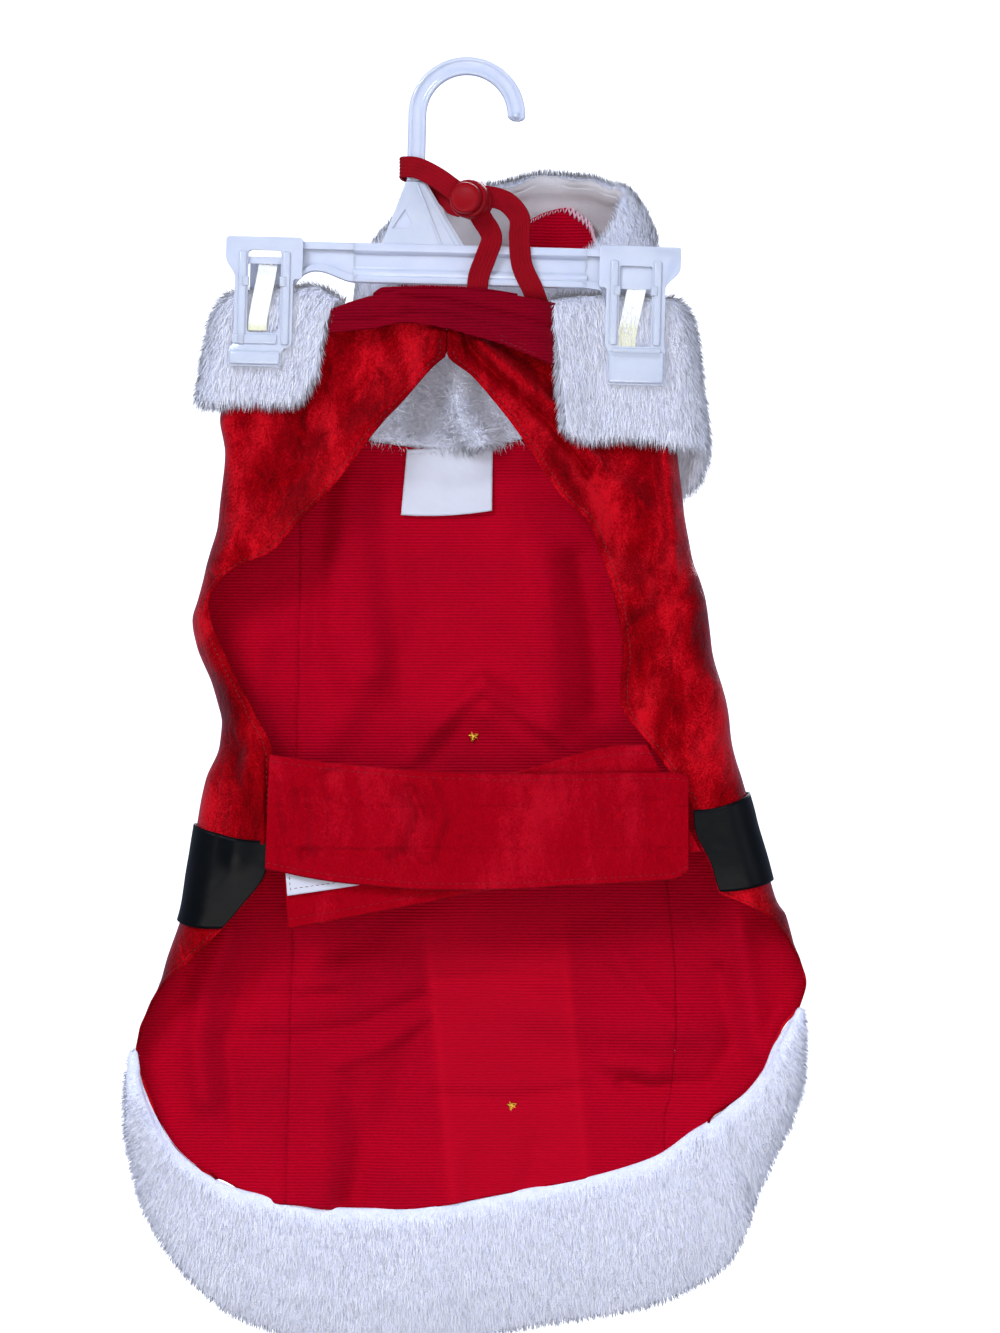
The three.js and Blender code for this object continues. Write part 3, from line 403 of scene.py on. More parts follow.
# ---------------- meshes
def grid_mesh(name: str, grid: Grid, turned: Face = Face.AS_LAID, seams: Seams = Seams.OPEN,
              on_hanger: bool = False, values: dict[str, Array] | None = None) -> Mesh:
    """A smooth mesh laid through a grid of points, with a UV map in real metres.

    Args:
        name: the mesh's name.
        grid: its points.
        turned: which way its faces look.
        seams: which of its edges meet.
        on_hanger: whether it belongs to the hanger.
        values: attributes of its points.

    Returns:
        The mesh.
    """
    rows, columns = grid.shape[:2]
    bm = bmesh.new()
    bm.loops.layers.uv.new("UVMap")
    bmesh.ops.create_grid(bm, x_segments=columns - 1, y_segments=rows - 1, size=1.0, calc_uvs=True)
    mesh = bpy.data.meshes.new(name)
    bm.to_mesh(mesh)
    bm.free()
    mesh.vertices.foreach_set("co", placed(grid, on_hanger).ravel())
    metres = np.stack(spans(grid), axis=-1).reshape(-1, 2) * MM
    corner = np.empty(len(mesh.loops), int)
    mesh.loops.foreach_get("vertex_index", corner)
    mesh.uv_layers[0].data.foreach_set("uv", metres[corner].ravel())
    point_values(mesh, values or {})
    bm = bmesh.new()
    bm.from_mesh(mesh)
    if seams is not Seams.OPEN:
        bmesh.ops.remove_doubles(bm, verts=bm.verts, dist=1e-6)
    if seams is Seams.CAPPED:
        bmesh.ops.holes_fill(bm, edges=[e for e in bm.edges if e.is_boundary], sides=0)
    if seams in (Seams.CAPPED, Seams.CLOSED):
        bmesh.ops.recalc_face_normals(bm, faces=bm.faces)
    elif turned.value:
        bmesh.ops.reverse_faces(bm, faces=bm.faces)
    bm.to_mesh(mesh)
    bm.free()
    mesh.shade_smooth()
    return mesh


def point_values(mesh: Mesh, values: dict[str, Array]) -> None:
    """Stores attributes of a mesh, each one number or vector for each vertex."""
    for name, value in values.items():
        kind, key = ("FLOAT_VECTOR", "vector") if value.shape[-1] == 3 else ("FLOAT", "value")
        mesh.attributes.new(name, kind, "POINT").data.foreach_set(key, value.astype(float).ravel())


def body_mesh(name: str, bm: Shape, on_hanger: bool = False, sharp: float = 35) -> Mesh:
    """A mesh from a shape in table millimetres.

    Args:
        name: its name.
        bm: the shape, which is freed.
        on_hanger: whether it belongs to the hanger.
        sharp: edges that turn by more degrees stay sharp.

    Returns:
        The mesh in the model's frame.
    """
    for vert, point in zip(bm.verts, placed(np.array([v.co for v in bm.verts]), on_hanger)):
        vert.co = point
    bmesh.ops.recalc_face_normals(bm, faces=bm.faces)
    mesh = bpy.data.meshes.new(name)
    bm.to_mesh(mesh)
    bm.free()
    mesh.shade_smooth()
    mesh.set_sharp_from_angle(angle=math.radians(sharp))
    return mesh


def piece(name: str, mesh: Mesh, finishes: Sequence[Material], slot: str,
          nodes: Sequence[str] = ()) -> Piece:
    """An object that rides on the suit.

    Args:
        name: its name.
        mesh: its mesh.
        finishes: its materials in order.
        slot: its material slot.
        nodes: CAD nodes that it stands for.

    Returns:
        The object.
    """
    obj = bpy.data.objects.new(name, mesh)
    bpy.context.scene.collection.objects.link(obj)
    for finish in finishes:
        mesh.materials.append(finish)
    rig.ride(obj, "root")
    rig.slot(obj, slot)
    if nodes:
        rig.replaces(obj, *nodes)
    LOG.info("%s: %d faces", name, len(mesh.polygons))
    return obj


def cloth(name: str, grid: Grid, thick: float, finishes: Sequence[Material], slot: str, nodes: Sequence[str],
          rests_on: Sequence[str], held: str = "hung", turned: Face = Face.AS_LAID,
          seams: Seams = Seams.OPEN, values: dict[str, Array] | None = None) -> None:
    """A sheet of cloth, thickened about its middle surface and declared.

    Args:
        name: its name.
        grid: its middle surface.
        thick: its thickness.
        finishes: its front's finish, and its rear's where that is another.
        slot: its material slot.
        nodes: CAD nodes that it stands for.
        rests_on: what it is sewn to or lies on.
        held: how it is held.
        turned: which way its front looks.
        seams: which of its edges meet.
        values: attributes of its points.
    """
    obj = piece(name, grid_mesh(name, grid, turned, seams, values=values), finishes, slot, nodes)
    modifier = obj.modifiers.new("cloth", "SOLIDIFY")
    modifier.thickness = thick * MM
    modifier.offset = 0
    modifier.use_even_offset = False
    modifier.material_offset = len(finishes) - 1
    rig.sheet(obj, held=held, rests_on=list(rests_on), **cut_size(grid))


def swept(points: Array, across: Array, section: Array) -> Grid:
    """A section carried along a path.

    Args:
        points: the path.
        across: the direction of the section's width at each point.
        section: pairs (across, through), the first repeated at the end.

    Returns:
        A grid with one row for each point of the path.
    """
    along = unit(np.gradient(points, axis=0))
    wide = unit(across - along * (across * along).sum(axis=1, keepdims=True))
    through = np.cross(along, wide)
    return points[:, None] + wide[:, None] * section[None, :, :1] + through[:, None] * section[None, :, 1:]


def stuffed(grid: Grid, half: Array, round_rows: bool = False) -> tuple[Grid, Array]:
    """A closed skin round a sheet of soft pile, with rounded edges.

    Args:
        grid: the sheet's middle surface.
        half: half the pile's depth at each point.
        round_rows: whether its last row meets its first.

    Returns:
        The skin, each row a closed section, and the side of each of its columns: 1 on the front,
        -1 on the rear and between them round the edges.
    """
    out = normals(grid, round_rows=round_rows)
    depth = half[..., None]
    turn = steps(9, math.pi / 2, -math.pi / 2)[1:-1]
    sheet = np.ones(grid.shape[1])

    def rounded(j: int, beyond: Array, angles: Array) -> Grid:
        """The columns round the edge at column j, which looks beyond the sheet."""
        return np.stack([grid[:, j] + (out[:, j] * math.sin(a) + unit(beyond) * math.cos(a)) * depth[:, j]
                         for a in angles], axis=1)

    front = grid + out * depth
    skin = np.concatenate([front, rounded(-1, grid[:, -1] - grid[:, -2], turn), (grid - out * depth)[:, ::-1],
                           rounded(0, grid[:, 0] - grid[:, 1], turn[::-1]), front[:, :1]], axis=1)
    return skin, np.concatenate([sheet, np.sin(turn), -sheet, np.sin(turn[::-1]), [1]])


def taper(count: int, share: float, least: float = 0.12) -> Array:
    """Factors for a strip's stations that round off its ends, down to the least one."""
    t = steps(count)
    near = np.clip(np.minimum(t, 1 - t) / share, 0, 1)
    return np.maximum(least, np.sqrt(1 - (1 - near) ** 2))


def bead(bm: Shape, at: Sequence[float], turn: Matrix | Array, size: Sequence[float],
         detail: int = 1) -> None:
    """Adds a small rounded body, such as a stitch or a thread.

    Args:
        bm: what it is added to.
        at: its place.
        turn: how it is turned, or the way that its length points.
        size: its half sizes.
        detail: how finely it is divided.
    """
    if not isinstance(turn, Matrix):
        turn = Vector(turn).to_track_quat("X", "Z").to_matrix().to_4x4()
    bmesh.ops.create_icosphere(bm, subdivisions=detail, radius=1,
                               matrix=Matrix.Translation(at) @ turn @ Matrix.Diagonal((*size, 1)))


def stitches(name: str, points: Array, lift: Array, finish: Material, slot: str, pitch: float,
             size: Sequence[float]) -> None:
    """A row of sewing stitches along a line.

    Args:
        name: the row's name.
        points: the line.
        lift: the direction away from the cloth, at each point or everywhere.
        finish: the thread.
        slot: its material slot.
        pitch: from one stitch to the next.
        size: half a stitch's length and its radius.
    """
    length = run(points)
    lift = np.broadcast_to(lift, points.shape)
    bm = bmesh.new()
    for at in np.arange(pitch / 2, length[-1], pitch):
        where = picked(at, length, points)
        ahead = picked(at + 0.5, length, points) - where
        if np.linalg.norm(ahead) >= 1e-6:
            bead(bm, where + picked(at, length, lift) * size[1] * 0.35, ahead, (size[0], size[1], size[1]))
    piece(name, body_mesh(name, bm, sharp=180), [finish], slot)


# ---------------- finishes
def linear(code: str) -> tuple[float, float, float, float]:
    """A colour from its sRGB hex code, as the shader wants it."""
    parts = [int(code[i:i + 2], 16) / 255 for i in (0, 2, 4)]
    return (*[c / 12.92 if c <= 0.04045 else ((c + 0.055) / 1.055) ** 2.4 for c in parts], 1.0)


def feed(node: Node, inputs: dict) -> Node:
    """Sets or links a node's inputs.

    Args:
        node: the node.
        inputs: by name or number, a value, a socket, or a node whose first output is meant.

    Returns:
        The same node.
    """
    for key, value in inputs.items():
        if isinstance(value, Node):
            value = value.outputs[0]
        if isinstance(value, bpy.types.NodeSocket):
            node.id_data.links.new(value, node.inputs[key])
        else:
            node.inputs[key].default_value = value
    return node


def add(tree: Tree, kind: str, inputs: dict | None = None, **settings) -> Node:
    """Adds a node.

    Args:
        tree: the node tree.
        kind: the node's type, for a shader node without its prefix.
        inputs: what its inputs are fed with.
        settings: the node's own settings.

    Returns:
        The node.
    """
    node = tree.nodes.new(kind if "Node" in kind else f"ShaderNode{kind}")
    for name, value in settings.items():
        setattr(node, name, value)
    return feed(node, inputs or {})


def surface(name: str, **constants) -> tuple:
    """A new material with a Principled shader.

    Args:
        name: its name.
        constants: the shader's fixed values, by socket name with underscores for spaces.

    Returns:
        The material, its tree, and its object and UV coordinates.
    """
    material = bpy.data.materials.new(name)
    material.use_nodes = True
    tree = material.node_tree
    feed(tree.nodes["Principled BSDF"], {k.replace("_", " "): v for k, v in constants.items()})
    place = add(tree, "TexCoord").outputs
    return material, tree, place["Object"], place["UV"]


def summed(tree: Tree, *parts: tuple) -> Node:
    """The sum of (pattern, weight) pairs, each pattern times its weight."""
    total = 0.0
    for pattern, weight in parts:
        total = add(tree, "Math", {0: pattern, 1: weight, 2: total}, operation="MULTIPLY_ADD")
    return total


def dressed(material: Material, base: str, tones: Sequence[tuple], bumps: Sequence[tuple] = (),
            **links) -> Material:
    """Gives a material's shader its colour and relief.

    Args:
        material: the material.
        base: its first colour.
        tones: (share, colour) for each colour that is laid over it.
        bumps: (strength, height in millimetres, pattern), from coarse to fine.
        links: what feeds the shader's other inputs.

    Returns:
        The same material.
    """
    tree, colour = material.node_tree, linear(base)
    for share, code in tones:
        mix = add(tree, "Mix", {0: share, 6: colour, 7: linear(code)}, data_type="RGBA")
        colour = mix.outputs[2]
    for strength, height, pattern in bumps:
        below = {"Normal": links["Normal"]} if "Normal" in links else {}
        links["Normal"] = add(tree, "Bump", {"Strength": strength, "Distance": height * MM,
                                             "Height": pattern, **below})
    feed(tree.nodes["Principled BSDF"], {"Base Color": colour, **links})
    return material


def per_metre(millimetres: float) -> float:
    """A noise scale for lumps of a given size."""
    return 1000 / millimetres


def bands(millimetres: float) -> float:
    """A wave scale for bands of a given pitch."""
    return 0.314 / (millimetres * MM)


@dataclass(frozen=True)
class CrushedVelvet:
    """Crushed polyester velvet: the pile is pressed all ways, and its shining and dark patches are painted into the
    colour as highlight and shade.
    """

    name: str = "crushed_velvet_red"
    # shade is a painted shade colour and shine a painted highlight colour, laid over the body by noise
    shade: str = "580005"
    body: str = "8A0009"
    shine: str = "D2101E"
    crush_mm: float = 34
    evenness: float = 0.0  # how far the painted dark patches are held back
    nap_mm: float = 7
    glint_mm: float = 0.8  # the painted glints; real pile is 0.1 mm, drawn as coarse as it needs to show

    def build(self) -> Material:
        """The material."""
        material, tree, spot, _ = surface(
            self.name, Roughness=0.36, Specular_IOR_Level=0.65, Specular_Tint=linear("FF141A"),
            Sheen_Weight=0.3, Sheen_Roughness=0.3, Sheen_Tint=linear("FF0C14"))
        slant = add(tree, "Mapping", {"Vector": spot, "Rotation": (0, 0.45, 0), "Scale": (1.5, 1, 0.7)})
        crush, nap, glint = (
            add(tree, "TexNoise", {"Vector": place, "Scale": per_metre(size), "Detail": detail,
                                   "Roughness": rough, "Distortion": 0.5})
            for place, size, detail, rough in ((slant, self.crush_mm, 2.0, 0.5), (slant, self.nap_mm, 3.0, 0.55),
                                               (spot, self.glint_mm, 1.0, 0.6)))
        tone = summed(tree, (crush, 0.6), (nap, 0.25), (glint, 0.32))
        # low blends painted shade into the body, high lays painted highlights and glints on top; both follow noise,
        # not the light
        low = add(tree, "MapRange", {"Value": tone, "From Min": 0.42 - self.evenness,
                                     "From Max": 0.58 - self.evenness}, interpolation_type="SMOOTHSTEP")
        high = add(tree, "MapRange", {"Value": tone, "From Min": 0.57, "From Max": 0.7, "To Max": 0.9})
        return dressed(material, self.shade, ((low, self.body), (high, self.shine)),
                       ((0.5, 2.2, nap), (0.8, 0.4, glint)))


@dataclass(frozen=True)
class KnitBack:
    """The velvet's knitted back, a polyester tricot: matt, with fine ribs across the panel."""

    name: str = "tricot_knit_red"
    wale: str = "C80020"
    # groove is a darker colour laid where the ribs dip, painted shade in the rib hollows, and in random cloudy patches
    # of tone
    groove: str = "720012"
    under: str = "CC0622"  # where white plush lies behind the thin cloth
    rib_mm: float = 1.4

    def build(self) -> Material:
        """The material."""
        material, tree, spot, _ = surface(
            self.name, Roughness=0.7, Specular_IOR_Level=0.3, Specular_Tint=linear("FF5060"),
            Sheen_Weight=0.12, Sheen_Roughness=0.5, Sheen_Tint=linear("FF3050"))
        rib = add(tree, "TexWave", {"Vector": spot, "Scale": bands(self.rib_mm), "Distortion": 0.6,
                                    "Detail": 1.0, "Detail Scale": 1.5}, bands_direction="Z").outputs["Fac"]
        yarn, cloud = (add(tree, "TexNoise", {"Vector": spot, "Scale": per_metre(size), "Detail": 2.0})
                       for size in (1.3, 45))
        behind = add(tree, "Attribute", attribute_name="under").outputs["Fac"]
        # The groove colour darkens the rib hollows as painted shade; the yarn and cloud noise vary the tone at random.
        return dressed(material, self.groove, (
            (summed(tree, (yarn, 0.44), (rib, 0.42), (cloud, 0.5)), self.wale), (behind, self.under)),
            ((0.8, 0.3, rib), (0.3, 0.3, yarn)))


@dataclass(frozen=True)
class PlushGround:
    """The dense underlayer of polyester faux fur: soft, with brushed tracks of a few millimetres."""

    name: str = "plush_ground_white"
    light: str = "F1F3FD"
    dark: str = "DCE0F4"

    def build(self) -> Material:
        """The material."""
        # The faint emission is painted light, a glow that lifts the pile out of its shade.
        material, tree, spot, _ = surface(
            self.name, Roughness=0.95, Specular_IOR_Level=0.2, Sheen_Weight=0.5, Sheen_Roughness=0.6,
            Emission_Color=linear("EDEFFF"), Emission_Strength=0.12)
        clump = add(tree, "TexNoise", {"Vector": spot, "Scale": per_metre(5), "Detail": 4.0, "Roughness": 0.7})
        fibre = add(tree, "TexNoise", {"Vector": spot, "Scale": per_metre(1), "Detail": 3.0})
        tone = add(tree, "MapRange", {"Value": clump, "From Min": 0.3, "From Max": 0.6})
        return dressed(material, self.dark, ((tone, self.light),), ((0.4, 2, clump), (0.7, 0.8, fibre)))


@dataclass(frozen=True)
class PlushFibre:
    """The standing fibres of polyester faux fur, each lock a little lighter or bluer.

    Light scatters from fibre to fibre, so a lock is lit as the skin that it stands on. Its faint
    bluish emission is painted light, a glow that brightens the locks in their shade.
    """

    name: str = "plush_fibre_white"
    light: str = "FFFFFF"
    dark: str = "E6E9FA"

    def build(self) -> Material:
        """The material."""
        # The emission is painted light, a glow that brightens fibres that lie in shade.
        material, tree, _, _ = surface(
            self.name, Roughness=0.8, Specular_IOR_Level=0.15, Sheen_Weight=0.2, Sheen_Roughness=0.5,
            Emission_Color=linear("EDEFFF"), Emission_Strength=0.16)
        skin, tone = (add(tree, "Attribute", attribute_name=name).outputs for name in ("skin", "tone"))
        return dressed(material, self.dark, ((tone["Fac"], self.light),), Normal=skin["Vector"])


@dataclass(frozen=True)
class WovenCloth:
    """A plain woven cloth or tape: threads over and under at a real pitch."""

    name: str
    light: str
    dark: str
    thread_mm: float
    roughness: float = 0.8
    sheen: float = 0.2
    mottle: float = 0.4
    shine: float = 0.35

    def build(self) -> Material:
        """The material."""
        material, tree, spot, flat = surface(self.name, Roughness=self.roughness, Sheen_Weight=self.sheen,
                                             Specular_IOR_Level=self.shine)
        warp, weft = (add(tree, "TexWave", {"Vector": flat, "Distortion": 0.3,
                                            "Scale": bands(self.thread_mm)}, bands_direction=way).outputs["Fac"]
                      for way in ("X", "Y"))
        weave = add(tree, "Math", {0: warp, 1: weft}, operation="MULTIPLY")
        cloud = add(tree, "TexNoise", {"Vector": spot, "Scale": per_metre(9), "Detail": 3.0})
        tone = summed(tree, (cloud, self.mottle), (weave, 1 - self.mottle))
        return dressed(material, self.dark, ((tone, self.light),), ((0.4, 0.2, weave),))


@dataclass(frozen=True)
class BlackSatin:
    """Polyester satin ribbon: long floats one way give a soft band of shine."""

    name: str = "satin_ribbon_black"

    def build(self) -> Material:
        """The material."""
        material, tree, spot, flat = surface(self.name, Roughness=0.38, Specular_IOR_Level=0.1,
                                             Anisotropic=0.5)
        floats = add(tree, "TexWave", {"Vector": flat, "Scale": bands(0.7), "Distortion": 0.5},
                     bands_direction="Y").outputs["Fac"]
        cloud = add(tree, "TexNoise", {"Vector": spot, "Scale": per_metre(14), "Detail": 2.0})
        return dressed(material, "020303", ((cloud, "080B0B"),), ((0.25, 2, cloud), (0.15, 0.1, floats)))


@dataclass(frozen=True)
class Moulded:
    """An injection-moulded plastic: smooth, with faint flow and handling marks."""

    name: str
    light: str
    dark: str
    roughness: float
    glow: float  # how far light travels inside it
    clear: float
    gloss: float = 0.2

    def build(self) -> Material:
        """The material."""
        material, tree, spot, _ = surface(
            self.name, IOR=1.49, Subsurface_Weight=self.glow, Subsurface_Radius=(0.003, 0.003, 0.004),
            Subsurface_Scale=1.0, Specular_IOR_Level=0.05 + 2 * self.gloss, Transmission_Weight=self.clear,
            Coat_Weight=self.gloss, Coat_Roughness=0.15)
        flow = add(tree, "TexNoise", {"Vector": spot, "Scale": per_metre(12), "Detail": 3.0, "Distortion": 0.5})
        scuff = add(tree, "TexNoise", {"Vector": spot, "Scale": per_metre(1.5), "Detail": 3.0})
        rough = add(tree, "MapRange", {"Value": scuff, "From Min": 0.3, "From Max": 0.7,
                                       "To Min": self.roughness - 0.03, "To Max": self.roughness + 0.05})
        return dressed(material, self.dark, ((flow, self.light),), ((0.3, 0.7, flow),), Roughness=rough)


@dataclass(frozen=True)
class Metal:
    """A thin bright metal with fine drawn lines and small changes of polish."""

    name: str
    light: str
    dark: str
    roughness: float
    line_mm: float = 0.4
    tinted_below: float = -9.0  # the height below which it keeps a straw tint from tempering
    tint: str = "E6E4C2"

    def build(self) -> Material:
        """The material."""
        material, tree, spot, _ = surface(self.name, Metallic=1.0)
        stretched = add(tree, "Mapping", {"Vector": spot, "Scale": (1, 1, 0.05)})
        drawn = add(tree, "TexNoise", {"Vector": stretched, "Scale": per_metre(self.line_mm), "Detail": 2.0})
        cloud = add(tree, "TexNoise", {"Vector": spot, "Scale": per_metre(6)})
        height = add(tree, "SeparateXYZ", {0: spot}).outputs[2]
        low = add(tree, "MapRange", {"Value": height, "From Min": self.tinted_below,
                                     "From Max": self.tinted_below - 0.004})
        rough = add(tree, "MapRange", {"Value": drawn, "To Min": self.roughness, "To Max": self.roughness + 0.15})
        return dressed(material, self.dark, ((cloud, self.light), (low, self.tint)), ((0.1, 0.1, drawn),),
                       Roughness=rough)


class Finishes:
    """Every material of the suit, built once."""

    def __init__(self) -> None:
        """Builds the materials."""
        # Both velvets paint shade patches, shine patches and glints into their colour.
        self.velvet = CrushedVelvet().build()
        self.strap = CrushedVelvet("flat_velvet_red", "80000D", "980012", "B60C20", 44, evenness=0.12).build()
        self.knit = KnitBack().build()
        # The tab takes a darker copy of the same knit: painted shade.
        self.tab = KnitBack(name="tricot_knit_red_tab", wale="940019", groove="56000F").build()
        self.ground = PlushGround().build()
        self.fibre = PlushFibre().build()
        self.backing = WovenCloth("plush_backing_cream", "F1EAE2", "D2C8C0", 1.0, mottle=0.8).build()
        self.tape = WovenCloth("woven_tape_white", "F2F1EE", "D6D4D8", 0.5, 0.6).build()
        self.satin = BlackSatin().build()
        self.elastic = WovenCloth("braided_elastic_red", "B80217", "78000D", 0.9, sheen=0.02, mottle=0.5,
                                   shine=0.1).build()
        self.red_thread = WovenCloth("sewing_thread_red", "960818", "66040F", 0.4).build()
        self.pale_thread = WovenCloth("overlock_thread_pale", "FFE6E6", "E2ACB2", 0.5).build()
        self.hanger = Moulded("polystyrene_hanger_clear", "E9EBF0", "D6DBE6", 0.15, 0.3, 0.06, 0.3).build()
        self.lock = Moulded("abs_cord_lock_red", "A60410", "88020C", 0.36, 0.05, 0.0, 0.02).build()
        self.steel = Metal("spring_steel_strip", "FAFAF6", "ECECE2", 0.2, tinted_below=-0.1085).build()
        self.gold = Metal("metallic_thread_gold", "FFD050", "C08A1C", 0.3, 0.3).build()
        self.brass = Metal("gilt_plastic_button", "E4BC5C", "B98A2E", 0.22).build()


# ---------------- the coat's surfaces
# A side by level sections: z, then x of its seam with the back panel, of the outermost point of
# the flank and of the free edge, y of its back and front layers, the reach of the rounded fold
# and y of the free edge.
LEFT_SIDE = (
    (-104, -75, -103, -9.45, 7, -3, 6, -12), (-124, -75, -105, -9.45, 8, -3, 7, -12),
    (-129, -75, -106, -15, 8, -3, 7, -12), (-147, -75.3, -109, -31, 9, -3.4, 8, -11.5),
    (-153, -75.5, -110, -37, 9, -4.5, 8, -11.5), (-168, -75.5, -107.5, -48, 10, -8, 9, -12),
    (-185, -75.5, -109.5, -61.5, 10, -10, 9, -13), (-200, -75.5, -111, -76, 11, -12, 10, -14),
    (-212, -75.5, -114, -87, 11, -13, 10, -14.5), (-217, -75.5, -115.5, -99.5, 11, -13, 10, -14),
    (-226, -75.6, -118, -111, 11, -12, 9, -12), (-234, -75.6, -120, -114.7, 11, -11, 9, -11),
    (-242, -75.7, -122, -114, 11, -11, 10, -11), (-253, -76, -120.3, -109.7, 11, -12, 10, -12),
    (-269, -76, -113.7, -101.7, 11, -14, 10, -14), (-279, -76.5, -111, -96.5, 11, -15, 10, -15),
    (-288, -77, -109, -92, 11, -15, 10, -15), (-298, -77, -110, -87, 11, -15, 10, -15),
    (-313, -77.7, -116, -86.1, 11, -15, 11, -15), (-333, -78, -120, -86.1, 12, -15, 11, -15),
    (-353, -78.3, -123.2, -88.8, 12, -15, 11, -15), (-370, -78.6, -126, -101, 12, -14, 11, -14),
    (-380, -79, -129, -110, 12, -13, 11, -13), (-392, -79, -133.6, -122, 12, -12, 11, -12),
    (-404, -79.5, -136.5, -135, 12, -11, 10, -8), (-413.5, -79.7, -141, -140.6, 12, -10, 10, -3),
    (-424.5, -80, -145.3, -145.2, 12, -8, 10, 0), (-434, -80, -147, -146.9, 12, -6, 10, 2),
    (-448, -80.4, -144.2, -144, 12, -4, 10, 3), (-469, -81, -136.2, -136, 12, -1, 10, 5),
    (-478, -81.3, -130.2, -130, 12, 2, 9, 7), (-485, -81.5, -122.7, -122.5, 12, 4, 9, 8),
    (-491, -81.7, -112.2, -112, 12, 6, 8, 9),
)
RIGHT_SIDE = (
    (-110, 66, 88, -9.35, 7, -3, 6, -12), (-124, 66, 90, -9.35, 8, -3, 7, -12), (-134, 66, 91, 1.8, 8, -3, 7, -12),
    (-153, 66, 92, 17.8, 9, -3, 8, -12), (-163, 66.5, 92.5, 25, 9, -3.6, 8, -12.5),
    (-171, 67, 93, 30.2, 9, -6, 8, -13), (-186.5, 68, 94.6, 40.8, 10, -9, 9, -14),
    (-200, 69, 96.5, 54.2, 10, -11, 9, -15), (-215, 70.5, 99.5, 59.5, 11, -13, 10, -15),
    (-233, 73, 105, 65.3, 11, -14, 10, -14), (-255, 76, 108, 68.4, 11, -15, 11, -13),
    (-277.5, 79, 114, 67.5, 11, -16, 11, -14), (-297.5, 81.5, 117, 80.8, 11, -16, 11, -15),
    (-313, 83.5, 121.5, 92, 11, -15.5, 11, -15), (-325, 85, 125, 99, 12, -15, 11, -15),
    (-333, 86, 127, 99.5, 12, -15, 11, -15), (-350, 88, 132, 107, 12, -15, 11, -15),
    (-363, 89.5, 135.5, 111.5, 12, -14, 11, -14), (-368, 90, 137.5, 123.9, 12, -13, 11, -13),
    (-373, 90.5, 141, 132.8, 12, -12, 11, -11), (-388.5, 92, 145, 144.3, 12, -11, 11, -5),
    (-404, 93, 149.7, 149.5, 12, -9, 10, 0), (-413, 93, 147.2, 147, 12, -7, 10, 2),
    (-423, 93, 140.1, 139.9, 12, -5, 10, 3), (-433, 92.5, 135.2, 135, 12, -4, 10, 4),
    (-441, 92, 132.5, 132.3, 12, -2, 10, 5), (-453, 91, 123.2, 123, 12, 0, 9, 6), (-466, 88, 107.2, 107, 12, 4, 8, 8),
)
# z of a side's neckline and of its hem, by the share of the way from the seam to the free edge.
LEFT_ENDS = ((0, -152, -503), (0.2, -133, -502), (0.35, -119, -500), (0.6, -112.5, -497), (1, -105, -491.2))
RIGHT_ENDS = ((0, -151, -482), (0.18, -134, -480), (0.32, -126, -478), (0.6, -120, -474), (1, -111, -466.3))
# y of the middle of the back panel by z, and z of its neckline and its hem by x.
BACK_DEPTH = ((-150, 14.5), (-200, 17), (-300, 18), (-400, 18.5), (-450, 17.5), (-505, 14))
NECKLINE = ((-75, -152), (-39, -162.5), (-8.5, -165.6), (21, -161.5), (66, -151))
HEM = ((-82, -503), (-60, -505.4), (-30, -505.4), (15, -498.6), (60, -489.8), (86, -482))
# Soft folds: a line of (x, z) points, the fold's width and its rise in y.
BACK_FOLDS = (
    (((-52, -185), (-44, -262)), 9, -4), (((-44, -268), (-66, -300)), 9, -3), (((33, -215), (38, -285)), 9, -3.5),
    (((-14, -287), (6, -277)), 10, -3.5), (((6, -277), (44, -303)), 10, -3.5), (((-112, -372), (-108, -425)), 9, -5),
    (((-96, -395), (-45, -388)), 9, 3), (((-62, -400), (-18, -378)), 9, -3), (((-20, -420), (-50, -500)), 10, 3),
    (((30, -415), (112, -430)), 12, -4), (((18, -385), (60, -372)), 9, 2.5),
    (((-97, -404), (-75, -411), (-60, -409)), 3.5, 1.5), (((-97, -431), (-50, -424), (-20, -410)), 4, 1.8),
    (((-58, -440), (-38, -432), (-19, -419)), 3.5, -1.8), (((-52, -452), (-49, -475), (-52, -500)), 6, 2),
    (((-66, -462), (-64, -500)), 6, -1.5), (((66, -392), (80, -410), (103, -433)), 5, -2.2),
    (((70, -449), (84, -452), (104, -446)), 4, 3), (((62, -440), (84, -443)), 4, -1.8),
    (((-16, -403), (10, -401), (48, -405)), 3.5, 1.2), (((-14, -455), (18, -457), (50, -452)), 4, 1.4),
    (((6, -269), (-8, -282), (-28, -306)), 4, -1.6), (((6, -269), (30, -286), (60, -304)), 4, -1.6),
    (((4, -278), (-16, -306)), 4, 1.2), (((8, -278), (42, -304)), 4, 1.2),
    (((-57, -200), (-60, -240), (-54, -270)), 6, -1.8), (((-66, -205), (-70, -262)), 5, 1.4),
    (((50, -214), (56, -246), (58, -280)), 6, 2.4), (((64, -222), (70, -262)), 5, -1.4),
    (((-24, -206), (-20, -236), (-30, -258)), 7, 1.2), (((16, -204), (14, -240)), 7, -1.2),
    (((-40, -177), (-8, -184), (32, -176)), 5, 1.0), (((-58, -172), (-64, -190)), 5, 1.6),
    (((26, -500), (30, -478)), 5, 1.2), (((-8, -502), (-4, -480)), 5, -1.0),
)
LEFT_FOLDS = ((((-70, -165), (-92, -190)), 9, 4), (((-100, -300), (-104, -345)), 8, -3))
RIGHT_FOLDS = (
    (((84, -180), (60, -165)), 8, 3), (((62, -205), (92, -222)), 9, 4), (((74, -232), (100, -214)), 8, -4),
    (((78, -270), (104, -236)), 9, 5), (((92, -262), (108, -250)), 7, -3), (((96, -300), (114, -270)), 8, 4),
)
